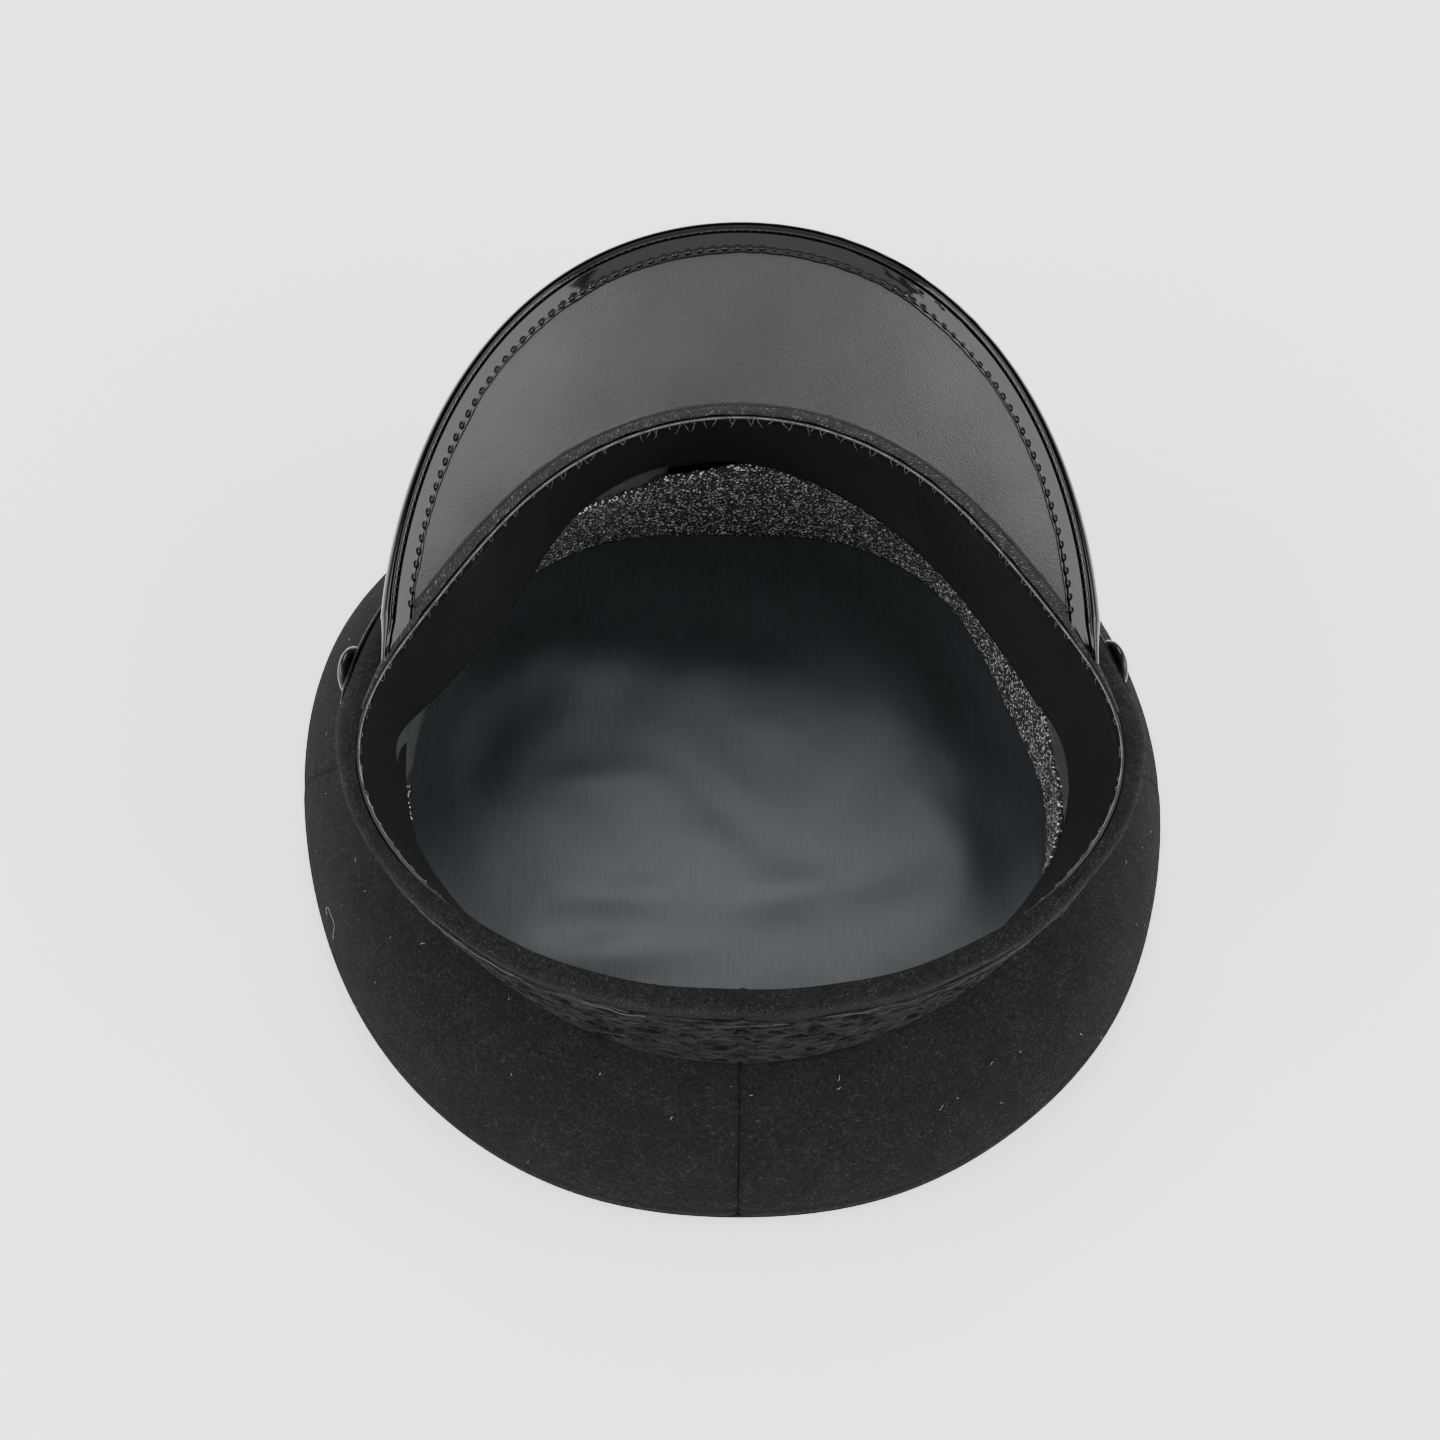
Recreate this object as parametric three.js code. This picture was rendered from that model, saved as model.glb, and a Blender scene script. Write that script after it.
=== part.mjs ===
// Chauffeur cap lying on its crown, head opening up, peak towards +Y. Millimetres, +Z up.
// The origin is on the flat of the crown's tip, where the cap rests.
import * as THREE from 'three';

// Every ring of the cap is measured from this upright pole. Angles run clockwise seen from above,
// from the front (+Y) to the wearer's right as the cap lies (+X).
const POLE_Y = -20;
const ROW_STEP = 20;

// Round the head, one row for each 20 degrees from the front, all radii from the pole: rim is the
// sweatband's top edge, free its lower edge, which leans in on both sides of the front, join the
// inside of the band at the crown, and foot the inside of the foam strip at the bottom.
// A pair gives the right side and the left side.
const HEAD_ROWS = [
  { at: 0, rim: 84.2, free: 92.5, join: 97, foot: 107.5 },
  { at: 20, rim: 83.2, free: [86, 92], join: 96.4, foot: [110, 111.5] },
  { at: 40, rim: 81.3, free: [81, 82.5], join: 94.7, foot: [104, 110] },
  { at: 60, rim: 81.1, free: [78.8, 75.5], join: 92.5, foot: [92.8, 103] },
  { at: 80, rim: 87.6, free: [82, 82.8], join: 90.3, foot: [90.8, 97] },
  { at: 100, rim: 99.8, free: [90.4, 91.4], join: 89.6, foot: [89.4, 90.5] },
  { at: 120, rim: 100, free: 89.6, join: 88.2, foot: 88.2 },
  { at: 140, rim: 94.8, free: 87.5, join: 86.5, foot: 87.6 },
  { at: 160, rim: 89.7, free: 86.3, join: 86.1, foot: 87.4 },
  { at: 180, rim: 87.4, free: 86, join: 86, foot: 87.3 },
];

// Outside, in the same rows: band is the outer face of the wool band under its roll, edge the
// crown's widest line, which bulges a little more at the left, and peak the radius of the peak's
// edge at the height lift. Behind the peak its two columns only carry the curve on.
const OUTER_ROWS = [
  { at: 0, band: 92.6, edge: 138.8, peak: 127, lift: 125 },
  { at: 20, band: 93.2, edge: 138.9, peak: [124, 123.2], lift: 121.9 },
  { at: 40, band: 94.4, edge: [137.6, 139.8], peak: [114, 113.1], lift: 113.6 },
  { at: 60, band: [95.6, 97.6], edge: [132.5, 137.8], peak: [103, 102.3], lift: 103.2 },
  { at: 80, band: [100.4, 102.9], edge: [126.5, 128.8], peak: [95.8, 95.5], lift: 92.8 },
  { at: 100, band: [107.2, 106.8], edge: 122.2, peak: 92.5, lift: 84 },
  { at: 120, band: 104.8, edge: [121.3, 120.3], peak: 92, lift: 80 },
  { at: 140, band: 99.8, edge: 119.6, peak: 92, lift: 80 },
  { at: 160, band: 94.4, edge: 118.5, peak: 92, lift: 80 },
  { at: 180, band: 92.1, edge: 117, peak: 92, lift: 80 },
];

const RIM_MEAN = 89.8;
const RIM_RISE_TO_FRONT = 3.2;
const JOIN_MEAN = 52;
const JOIN_RISE_TO_FRONT = 2;
const SEAM_GAP = 0.3;

const TIP_WALL = 2;
const EDGE_HEIGHT = 8.6;
// The tip's turned-up margin, outer face and inner face: inset from the widest line, and height.
const TIP_OUTER_MARGIN = [[22, 0], [11, 0.8], [5, 2.5], [1.6, 4.9], [0.4, 7.7]];
const TIP_INNER_MARGIN = [[22, TIP_WALL], [11.5, 2.8], [6, 4.3], [3.3, 6.1], [2.4, 7.7]];
const QUARTER_WALL = 2;
const QUARTER_BULGE = 4.5;
const QUARTER_TOP_INSET = 0.4;
const QUARTER_TOP_GAP = 0.5;
const SIDE_SEAM_AT_JOIN = 90;
const SIDE_SEAM_AT_EDGE = 84;

const BAND_WALL = 2;
const BAND_OUT_AT_JOIN = 4.6;
const ROLL_CLEARANCE = 0.4;
const ROLL_TOP = 0.4;
const ROLL_DROP_UNDER_PEAK = 4.9;
const ROLL_DROP_ENDS = 100;
const ROLL_DROP_SPAN = 14;
// The roll's height grows with the distance from the rim to the band's outer face.
const ROLL_HEIGHT = 2.5;
const ROLL_HEIGHT_PER_WIDTH = 0.3;
const BRAID_WIDTH = 28.5;
const BRAID_WALL = 1.2;
const BRAID_RISE = 0.5;

const SWEATBAND_WALL = 1.2;
const SWEATBAND_REACH = 0.8;
const STIFFENER_WALL = 0.8;
const STIFFENER_FROM = 0.22;
const STIFFENER_TO = 0.92;

const FOAM_WALL = 4;
const FOAM_TOP = 46.5;
const FOAM_FOOT = 3.8;
const FOAM_TOP_INSET = 0.2;
const LINING_WALL = 1;
const LINING_INSET = 24;
const LINING_CALM_MARGIN = 3;
const LINING_CALM_SPAN = 22;

const PEAK_TIP_ANGLE = 82.5;
const FACING_TIP_ANGLE = 77;
const PEAK_STATION_ANGLE = 5.5;
const PEAK_START = 1.9;
const PEAK_SEAM_DROP = 0.6;
const PEAK_BOARD_WALL = 2;
const PEAK_FACING_WALL = 0.9;
const FACING_START = 2.9;
const FACING_EDGE_INSET = 0.4;
// The peak sags by this much halfway to its edge, for each reach of PEAK_BOW_REACH.
const PEAK_BOW = 2;
const PEAK_BOW_REACH = 50;
const BINDING_WALL = 0.8;
const BINDING_EDGE = 1.6;
const BINDING_FOLD_UNDER = 7;
const BINDING_FOLD_OVER = 4.5;

const TAPE_WIDTH = 3.2;
const TAPE_WALL = 0.9;
const TAPE_END_ANGLE = 96;
const TAPE_INSET = 0.2;
const TAPE_END_WIDTH = 0.35;
const TAPE_TAPER_ANGLE = 20;

const STRAP_WIDTH = 12;
const STRAP_WALL = 1.6;
const STRAP_GAP = 0.6;
const STRAP_HEIGHT = 71.5;
const STRAP_END_ANGLE = 90;
const BUTTON_ANGLE_RIGHT = 80.5;
const BUTTON_ANGLE_LEFT = -82.5;
const BUTTON_SEAT_GAP = 0.35;
// Half section of a button: radius and height over its seat.
const BUTTON_PROFILE = [
  [0, 0], [6.2, 0], [7.2, 0.8], [7.2, 1.6], [6.3, 2.4], [5.3, 2.5], [4.9, 3], [3, 4], [0, 4.5],
];
const BUTTON_FACETS = 20;

// Soft folds of the lining over the tip: middle, heading of the ridge, half length, half width, height.
const LINING_FOLDS = [
  { x: -20, y: 12, heading: -12, length: 46, width: 11, height: 6 },
  { x: 26, y: -18, heading: -42, length: 40, width: 12, height: 7 },
  { x: -28, y: -42, heading: 8, length: 44, width: 12, height: 6 },
  { x: 40, y: 22, heading: -30, length: 30, width: 9, height: 4 },
  { x: -22, y: -82, heading: 14, length: 30, width: 7, height: 4 },
];

const ROWS_ROUND = 360 / ROW_STEP;
const ROWS = HEAD_ROWS.map((row, i) => ({ ...row, ...OUTER_ROWS[i] }));

/** A column of the two tables at any angle, on a closed smooth curve through its rows. */
function section(column, angle) {
  const turn = ((angle % 360) + 360) % 360;
  const row = Math.floor(turn / ROW_STEP);
  const t = turn / ROW_STEP - row;
  const value = (index) => {
    const n = ((index % ROWS_ROUND) + ROWS_ROUND) % ROWS_ROUND;
    const onRight = n < ROWS.length;
    const entry = ROWS[onRight ? n : ROWS_ROUND - n][column];
    return Array.isArray(entry) ? entry[onRight ? 0 : 1] : entry;
  };
  const before = value(row - 1);
  const from = value(row);
  const to = value(row + 1);
  const after = value(row + 2);
  const bend = 2 * before - 5 * from + 4 * to - after;
  const twist = 3 * (from - to) + after - before;
  return from + 0.5 * t * (to - before + t * (bend + t * twist));
}

const cosine = (angle) => Math.cos(THREE.MathUtils.degToRad(angle));
const sine = (angle) => Math.sin(THREE.MathUtils.degToRad(angle));
const mix = THREE.MathUtils.lerp;
const rimRadius = (angle) => section('rim', angle);
const rimHeight = (angle) => RIM_MEAN + RIM_RISE_TO_FRONT * cosine(angle);
const joinRadius = (angle) => section('join', angle);
const joinHeight = (angle) => JOIN_MEAN + JOIN_RISE_TO_FRONT * cosine(angle);
const edgeRadius = (angle) => section('edge', angle);

/** Signed angle from the front, between -180 and 180 degrees. */
function fromFront(angle) {
  const turn = ((angle % 360) + 360) % 360;
  return turn > 180 ? turn - 360 : turn;
}

/** The point at an angle, a radius from the pole and a height. */
function at(angle, radius, height) {
  return new THREE.Vector3(radius * sine(angle), POLE_Y + radius * cosine(angle), height);
}

/** Evenly spaced values from one number to another, both included. */
function steps(from, to, count) {
  return Array.from({ length: count + 1 }, (_, i) => from + (to - from) * i / count);
}

/**
 * A closed wall carried through stations. Each station holds the points of one face and the
 * matching points of the other, and both faces split their quads along the same diagonal. A closed
 * wall joins its last station to its first, and an open one gets an end at each of them. Points
 * that meet on the pole make no face.
 */
function wall(stations, closed) {
  const count = stations[0].face.length;
  const loops = stations.map(({ face, back }) => [...face, ...[...back].reverse()]);
  const points = loops.flat();
  const around = count * 2;
  const index = [];
  const near = (i, j) => points[i].distanceTo(points[j]) < 1e-3;
  const triangle = (a, b, c) => {
    if (!near(a, b) && !near(b, c) && !near(c, a)) index.push(a, b, c);
  };
  const spans = closed ? loops.length : loops.length - 1;
  for (let s = 0; s < spans; s += 1) {
    const here = s * around;
    const next = ((s + 1) % loops.length) * around;
    for (let i = 0; i < around; i += 1) {
      const j = (i + 1) % around;
      const onFace = i < count;
      triangle(here + i, here + j, onFace ? next + j : next + i);
      triangle(onFace ? here + i : here + j, next + j, next + i);
    }
  }
  if (!closed) {
    const last = (loops.length - 1) * around;
    for (let i = 0; i < count - 1; i += 1) {
      const opposite = around - 1 - i;
      triangle(i, opposite, i + 1);
      triangle(i + 1, opposite, opposite - 1);
      triangle(last + i, last + i + 1, last + opposite);
      triangle(last + i + 1, last + opposite - 1, last + opposite);
    }
  }
  const geometry = new THREE.BufferGeometry().setFromPoints(points);
  geometry.setIndex(index);
  if (volume(points, index) < 0) geometry.setIndex(turned(index));
  geometry.computeVertexNormals();
  return geometry;
}

/** Six times the enclosed volume, negative where the faces point in. */
function volume(points, index) {
  let total = 0;
  for (let i = 0; i < index.length; i += 3) {
    const [a, b, c] = [points[index[i]], points[index[i + 1]], points[index[i + 2]]];
    total += a.dot(b.clone().cross(c));
  }
  return total;
}

/** The same triangles facing the other way. */
function turned(index) {
  const out = [];
  for (let i = 0; i < index.length; i += 3) out.push(index[i], index[i + 2], index[i + 1]);
  return out;
}

const STATION_ANGLE = 6;
const RING_STATIONS = 360 / STATION_ANGLE;

/** A closed ring whose section at an angle is two lists of radius and height. */
function ring(sectionAt, count = RING_STATIONS) {
  const angles = steps(0, 360, count).slice(0, count);
  return wall(angles.map((angle) => placed(angle, sectionAt(angle))), true);
}

/** An open arc of the same kind between two angles. */
function arc(sectionAt, from, to, count) {
  return wall(steps(from, to, count).map((angle) => placed(angle, sectionAt(angle))), false);
}

function placed(angle, { face, back }) {
  const point = ([radius, height]) => at(angle, radius, height);
  return { face: face.map(point), back: back.map(point) };
}

/** The crown's tip: flat where it rests, turned up to the edge seam. */
function crownTip() {
  const face = (angle, margin, height) => {
    const line = margin.map(([inset, rise]) => [edgeRadius(angle) - inset, rise]);
    return [[0, height], [line[0][0] / 2, height], ...line];
  };
  return ring((angle) => ({
    face: face(angle, TIP_OUTER_MARGIN, 0),
    back: face(angle, TIP_INNER_MARGIN, TIP_WALL),
  }));
}

/** Outer face of the crown at an angle, a curve of radius and height from the edge to the band. */
function quarterOutline(angle) {
  const foot = new THREE.Vector2(edgeRadius(angle), EDGE_HEIGHT);
  const topRadius = joinRadius(angle) + BAND_OUT_AT_JOIN - QUARTER_TOP_INSET;
  const top = new THREE.Vector2(topRadius, joinHeight(angle) - QUARTER_TOP_GAP);
  const along = top.clone().sub(foot);
  const out = new THREE.Vector2(along.y, -along.x).normalize();
  const middle = foot.clone().lerp(top, 0.5).addScaledVector(out, QUARTER_BULGE * 2);
  return new THREE.QuadraticBezierCurve(foot, middle, top);
}

/** One crown panel between two seams, each given by its angle at the edge and at the join. */
function quarter(from, to, count) {
  const trim = THREE.MathUtils.radToDeg(SEAM_GAP / 2 / joinRadius(0));
  const stations = steps(0, 1, count).map((u) => {
    const face = [];
    const back = [];
    for (const v of steps(0, 1, 5)) {
      const angle = mix(mix(from.edge, from.join, v) + trim, mix(to.edge, to.join, v) - trim, u);
      const curve = quarterOutline(angle);
      const point = curve.getPoint(v);
      const tangent = curve.getTangent(v);
      face.push(at(angle, point.x, point.y));
      back.push(at(angle, point.x - tangent.y * QUARTER_WALL, point.y + tangent.x * QUARTER_WALL));
    }
    return { face, back };
  });
  return wall(stations, false);
}

/** How far the band's roll is lowered, to let the peak in over it. */
function rollTop(angle) {
  const inwards = (ROLL_DROP_ENDS - Math.abs(fromFront(angle))) / ROLL_DROP_SPAN;
  const t = THREE.MathUtils.smoothstep(inwards, 0, 1);
  return rimHeight(angle) + ROLL_TOP - ROLL_DROP_UNDER_PEAK * t;
}

/** Radius of the sweatband's inner face, on a straight line from rim to join, at a height. */
function headRadius(angle, height) {
  const t = (rimHeight(angle) - height) / (rimHeight(angle) - joinHeight(angle));
  return mix(rimRadius(angle), joinRadius(angle), t);
}

/** Radius at which the band's roll starts, just outside the sweatband. */
function rollStart(angle) {
  const top = rollTop(angle);
  const inside = Math.max(headRadius(angle, top), headRadius(angle, top - BAND_WALL));
  return inside + SWEATBAND_WALL + ROLL_CLEARANCE;
}

/** Height from the roll's top down to where the band's outer face starts. */
function rollDrop(angle) {
  return ROLL_HEIGHT + ROLL_HEIGHT_PER_WIDTH * (section('band', angle) - rimRadius(angle));
}

/** Radius of the band's outer face at a height. */
function bandFace(angle, height) {
  const shoulder = rollTop(angle) - rollDrop(angle);
  const low = joinHeight(angle);
  const t = THREE.MathUtils.clamp((height - low) / (shoulder - low), 0, 1);
  return mix(joinRadius(angle) + BAND_OUT_AT_JOIN, section('band', angle), t);
}

/** The wool band: a leaning wall whose top rolls in over the rim to the sweatband. */
function band() {
  const rollAngles = [90, 60, 30, 0];
  return ring((angle) => {
    const out = section('band', angle);
    const start = rollStart(angle);
    const top = rollTop(angle);
    const drop = rollDrop(angle);
    const low = joinHeight(angle);
    const lowOut = joinRadius(angle) + BAND_OUT_AT_JOIN;
    const rolled = (inset) => {
      const curve = rollAngles.map((t) => [
        start + (out - inset - start) * sine(t),
        top - inset - (drop - inset) * (1 - cosine(t)),
      ]);
      return [[lowOut - inset, low], ...curve];
    };
    return { face: rolled(0), back: rolled(BAND_WALL) };
  });
}

/** A skin on the band's outer face between two heights, lifted off it by a gap and bent with it. */
function onBand(angle, low, high, lift, thickness) {
  const shoulder = rollTop(angle) - rollDrop(angle);
  const heights = [low, THREE.MathUtils.clamp(shoulder, low + 1, high - 1), high];
  return {
    face: heights.map((height) => [bandFace(angle, height) + lift + thickness, height]),
    back: heights.map((height) => [bandFace(angle, height) + lift, height]),
  };
}

function braid() {
  return ring((angle) => {
    const low = joinHeight(angle) + BRAID_RISE;
    return onBand(angle, low, low + BRAID_WIDTH, SEAM_GAP, BRAID_WALL);
  });
}

/** A strip through rows t, 0 at the rim and 1 at the join, whose inner face has radiusAt(t). */
function headStrip(angle, rows, radiusAt, thickness) {
  const line = rows.map((t) => [radiusAt(t), mix(rimHeight(angle), joinHeight(angle), t)]);
  return { face: line, back: line.map(([radius, height]) => [radius + thickness, height]) };
}

const sweatbandRows = [0, STIFFENER_FROM, 0.5, SWEATBAND_REACH];

/** The sweatband hangs from the rim with its lower edge free. */
function sweatband() {
  return ring((angle) => {
    const radiusAt = (t) => mix(rimRadius(angle), section('free', angle), t / SWEATBAND_REACH);
    return headStrip(angle, sweatbandRows, radiusAt, SWEATBAND_WALL);
  });
}

/** The stiffener stands behind it, on the straight line from rim to join. */
function bandStiffener() {
  const rows = [...sweatbandRows.slice(1), STIFFENER_TO];
  return ring((angle) => {
    const radiusAt = (t) => mix(rimRadius(angle), joinRadius(angle), t) + SWEATBAND_WALL + SEAM_GAP;
    return headStrip(angle, rows, radiusAt, STIFFENER_WALL);
  });
}

/** The foam strip standing between the tip and the join. */
function foamRing() {
  return ring((angle) => {
    const foot = section('foot', angle);
    const top = joinRadius(angle) + FOAM_TOP_INSET;
    const line = steps(0, 1, 2).map((t) => [mix(foot, top, t), mix(FOAM_FOOT, FOAM_TOP, t)]);
    return { face: line, back: line.map(([radius, height]) => [radius + FOAM_WALL, height]) };
  });
}

/** Height of the lining's folds over its flat lie. */
function foldHeight(x, y) {
  const radius = Math.hypot(x, y - POLE_Y);
  const angle = THREE.MathUtils.radToDeg(Math.atan2(x, y - POLE_Y));
  const inwards = section('foot', angle) - LINING_CALM_MARGIN - radius;
  const calm = THREE.MathUtils.smoothstep(inwards / LINING_CALM_SPAN, 0, 1);
  const rise = LINING_FOLDS.reduce((sum, fold) => {
    const dx = x - fold.x;
    const dy = y - fold.y;
    const along = (dx * cosine(fold.heading) + dy * sine(fold.heading)) / fold.length;
    const across = (dy * cosine(fold.heading) - dx * sine(fold.heading)) / fold.width;
    return sum + fold.height * Math.exp(-along * along - across * across);
  }, 0);
  return calm * rise;
}

function lining() {
  const rings = steps(0, 1, 8);
  return ring((angle) => {
    const reach = edgeRadius(angle) - LINING_INSET;
    const low = rings.map((t) => {
      const point = at(angle, reach * t, 0);
      return [reach * t, TIP_WALL + SEAM_GAP + foldHeight(point.x, point.y)];
    });
    return { face: low.map(([radius, height]) => [radius, height + LINING_WALL]), back: low };
  }, 44);
}

/**
 * The peak's own frame at an angle. It runs straight out from the seam at the rim to the edge, and
 * place(s, h) gives radius and height for a distance s from the seam and a height h above it.
 */
function peakFrame(angle) {
  const start = new THREE.Vector2(rimRadius(angle) + PEAK_START, rimHeight(angle) - PEAK_SEAM_DROP);
  const end = new THREE.Vector2(section('peak', angle) - BINDING_EDGE, section('lift', angle));
  const length = start.distanceTo(end);
  const along = end.clone().sub(start).normalize();
  const up = new THREE.Vector2(-along.y, along.x);
  const place = (s, h) => {
    const t = THREE.MathUtils.clamp(s / length, 0, 1);
    const bow = -PEAK_BOW * (length / PEAK_BOW_REACH) * 4 * t * (1 - t);
    const point = start.clone().addScaledVector(along, s).addScaledVector(up, h + bow);
    return [point.x, point.y];
  };
  return { length, place };
}

/** A layer of the peak between two distances and two heights of its frame. */
function peakLayer(tipAngle, from, insetAtEdge, low, high) {
  return arc((angle) => {
    const { length, place } = peakFrame(angle);
    const line = steps(from, length - insetAtEdge, 3);
    return { face: line.map((s) => place(s, high)), back: line.map((s) => place(s, low)) };
  }, -tipAngle, tipAngle, 2 * tipAngle / PEAK_STATION_ANGLE);
}

const boardTop = -SEAM_GAP * 2;
const peakBoard = () => peakLayer(PEAK_TIP_ANGLE, 0, 0, boardTop - PEAK_BOARD_WALL, boardTop);
const facingTop = PEAK_FACING_WALL - SEAM_GAP;
const peakFacing = () => (
  peakLayer(FACING_TIP_ANGLE, FACING_START, FACING_EDGE_INSET, -SEAM_GAP, facingTop)
);

/** The patent strip folded round the peak's edge, from its underside to its outer side. */
function peakBinding() {
  const under = PEAK_FACING_WALL;
  const over = boardTop - PEAK_BOARD_WALL - SEAM_GAP;
  return arc((angle) => {
    const { length, place } = peakFrame(angle);
    const foldUnder = Math.max(length - BINDING_FOLD_UNDER, FACING_START);
    const foldOver = Math.max(length - BINDING_FOLD_OVER, FACING_START);
    // Distance past the board's edge and height, round the fold's outer and inner face.
    const outer = [[0.2, under + BINDING_WALL], [1.3, under - 0.1], [BINDING_EDGE, -0.9],
      [1.3, over + 0.3], [0.2, over - BINDING_WALL]];
    const inner = [[-0.1, under], [0.4, under - 0.5], [BINDING_EDGE - BINDING_WALL, -0.9],
      [0.4, over + 0.5], [-0.1, over]];
    const folded = (fold, thickness) => [
      [foldUnder, under + thickness],
      ...fold.map(([past, height]) => [length + past, height]),
      [foldOver, over - thickness],
    ].map(([s, h]) => place(s, h));
    return { face: folded(outer, BINDING_WALL), back: folded(inner, 0) };
  }, -PEAK_TIP_ANGLE, PEAK_TIP_ANGLE, 2 * PEAK_TIP_ANGLE / PEAK_STATION_ANGLE);
}

/** The knitted tape over the seam between sweatband and peak, narrowing to its ends. */
function rimTape() {
  return arc((angle) => {
    const inwards = (TAPE_END_ANGLE - Math.abs(angle)) / TAPE_TAPER_ANGLE;
    const from = rimRadius(angle) + TAPE_INSET;
    const to = from + TAPE_WIDTH * mix(TAPE_END_WIDTH, 1, THREE.MathUtils.smoothstep(inwards, 0, 1));
    const low = rimHeight(angle) + SEAM_GAP;
    return { face: [[from, low + TAPE_WALL], [to, low + TAPE_WALL]], back: [[from, low], [to, low]] };
  }, -TAPE_END_ANGLE, TAPE_END_ANGLE, 2 * TAPE_END_ANGLE / STATION_ANGLE);
}

const strapLift = SEAM_GAP + BRAID_WALL + STRAP_GAP;

function chinStrap() {
  return arc((angle) => {
    const low = STRAP_HEIGHT - STRAP_WIDTH / 2;
    return onBand(angle, low, low + STRAP_WIDTH, strapLift, STRAP_WALL);
  }, -STRAP_END_ANGLE, STRAP_END_ANGLE, 2 * STRAP_END_ANGLE / STATION_ANGLE);
}

/** A domed button with a groove round its dome, standing on +Y. */
function buttonForm() {
  const profile = BUTTON_PROFILE.map(([radius, height]) => new THREE.Vector2(radius, height));
  return new THREE.LatheGeometry(profile, BUTTON_FACETS);
}

/** Puts a button on the strap, square to it, at an angle from the front. */
function seatButton(mesh, angle) {
  const face = (a, height) => at(a, bandFace(a, height) + strapLift + STRAP_WALL + BUTTON_SEAT_GAP, height);
  const seat = face(angle, STRAP_HEIGHT);
  const along = face(angle + 3, STRAP_HEIGHT).sub(face(angle - 3, STRAP_HEIGHT));
  const up = face(angle, STRAP_HEIGHT + 3).sub(face(angle, STRAP_HEIGHT - 3));
  const outwards = up.cross(along).normalize();
  mesh.position.copy(seat).addScaledVector(outwards, BUTTON_SEAT_GAP);
  mesh.quaternion.setFromUnitVectors(new THREE.Vector3(0, 1, 0), outwards);
  return mesh;
}

const wool = new THREE.MeshStandardMaterial({ color: '#2b2b2d', roughness: 0.95, metalness: 0 });
const woven = new THREE.MeshStandardMaterial({ color: '#262425', roughness: 0.9, metalness: 0 });
const patent = new THREE.MeshStandardMaterial({ color: '#141414', roughness: 0.12, metalness: 0 });
const greyLeatherette = new THREE.MeshStandardMaterial({ color: '#56534f', roughness: 0.7, metalness: 0 });
const blackLeatherette = new THREE.MeshStandardMaterial({ color: '#161616', roughness: 0.6, metalness: 0 });
const tapeKnit = new THREE.MeshStandardMaterial({ color: '#33383a', roughness: 0.95, metalness: 0 });
const greyPlastic = new THREE.MeshStandardMaterial({ color: '#4c5152', roughness: 0.45, metalness: 0 });
const foam = new THREE.MeshStandardMaterial({ color: '#2c2c2c', roughness: 1, metalness: 0 });
const satin = new THREE.MeshStandardMaterial({ color: '#343a3d', roughness: 0.5, metalness: 0 });
const gloss = new THREE.MeshStandardMaterial({ color: '#101010', roughness: 0.15, metalness: 0 });

const cap = new THREE.Group();

function add(name, geometry, material) {
  const mesh = new THREE.Mesh(geometry, material);
  mesh.name = name;
  cap.add(mesh);
  return mesh;
}

const frontSeam = { edge: 0, join: 0 };
const rightSeam = { edge: SIDE_SEAM_AT_EDGE, join: SIDE_SEAM_AT_JOIN };
const backSeam = { edge: 180, join: 180 };
const leftSeam = { edge: 360 - SIDE_SEAM_AT_EDGE, join: 360 - SIDE_SEAM_AT_JOIN };
const closingSeam = { edge: 360, join: 360 };

add('crown_tip', crownTip(), wool);
add('quarter_front_right', quarter(frontSeam, rightSeam, 14), wool);
add('quarter_back_right', quarter(rightSeam, backSeam, 16), wool);
add('quarter_back_left', quarter(backSeam, leftSeam, 16), wool);
add('quarter_front_left', quarter(leftSeam, closingSeam, 14), wool);
add('band', band(), wool);
add('braid', braid(), woven);
add('sweatband', sweatband(), blackLeatherette);
add('band_stiffener', bandStiffener(), greyPlastic);
add('foam_ring', foamRing(), foam);
add('lining', lining(), satin);
add('peak_board', peakBoard(), patent);
add('peak_facing', peakFacing(), greyLeatherette);
add('peak_binding', peakBinding(), patent);
add('rim_tape', rimTape(), tapeKnit);
add('chin_strap', chinStrap(), patent);
seatButton(add('button_right', buttonForm(), gloss), BUTTON_ANGLE_RIGHT);
seatButton(add('button_left', buttonForm(), gloss), BUTTON_ANGLE_LEFT);

export default cap;
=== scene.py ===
import bmesh
import bpy
import numpy as np
from mathutils import Matrix, Vector


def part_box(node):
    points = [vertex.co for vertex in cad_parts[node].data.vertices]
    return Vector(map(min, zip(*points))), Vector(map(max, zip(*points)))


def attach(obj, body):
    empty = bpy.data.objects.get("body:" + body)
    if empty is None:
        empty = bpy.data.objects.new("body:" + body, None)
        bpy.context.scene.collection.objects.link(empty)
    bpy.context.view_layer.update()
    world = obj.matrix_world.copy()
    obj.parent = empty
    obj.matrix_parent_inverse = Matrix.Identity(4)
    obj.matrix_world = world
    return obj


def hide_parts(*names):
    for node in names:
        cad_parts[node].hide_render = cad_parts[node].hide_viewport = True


# A chauffeur cap lying on its crown with the head opening up and the peak at +Y.
# Lengths are in millimetres here and become metres as each mesh is made.

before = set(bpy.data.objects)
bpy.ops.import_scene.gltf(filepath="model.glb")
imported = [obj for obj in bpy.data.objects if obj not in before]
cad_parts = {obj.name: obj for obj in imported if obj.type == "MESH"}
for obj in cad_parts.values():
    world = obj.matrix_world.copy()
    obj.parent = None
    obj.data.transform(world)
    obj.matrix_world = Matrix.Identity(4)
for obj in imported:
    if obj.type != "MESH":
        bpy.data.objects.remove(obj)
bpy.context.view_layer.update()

MM = 0.001
POLE_Y = -20.0


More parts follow.
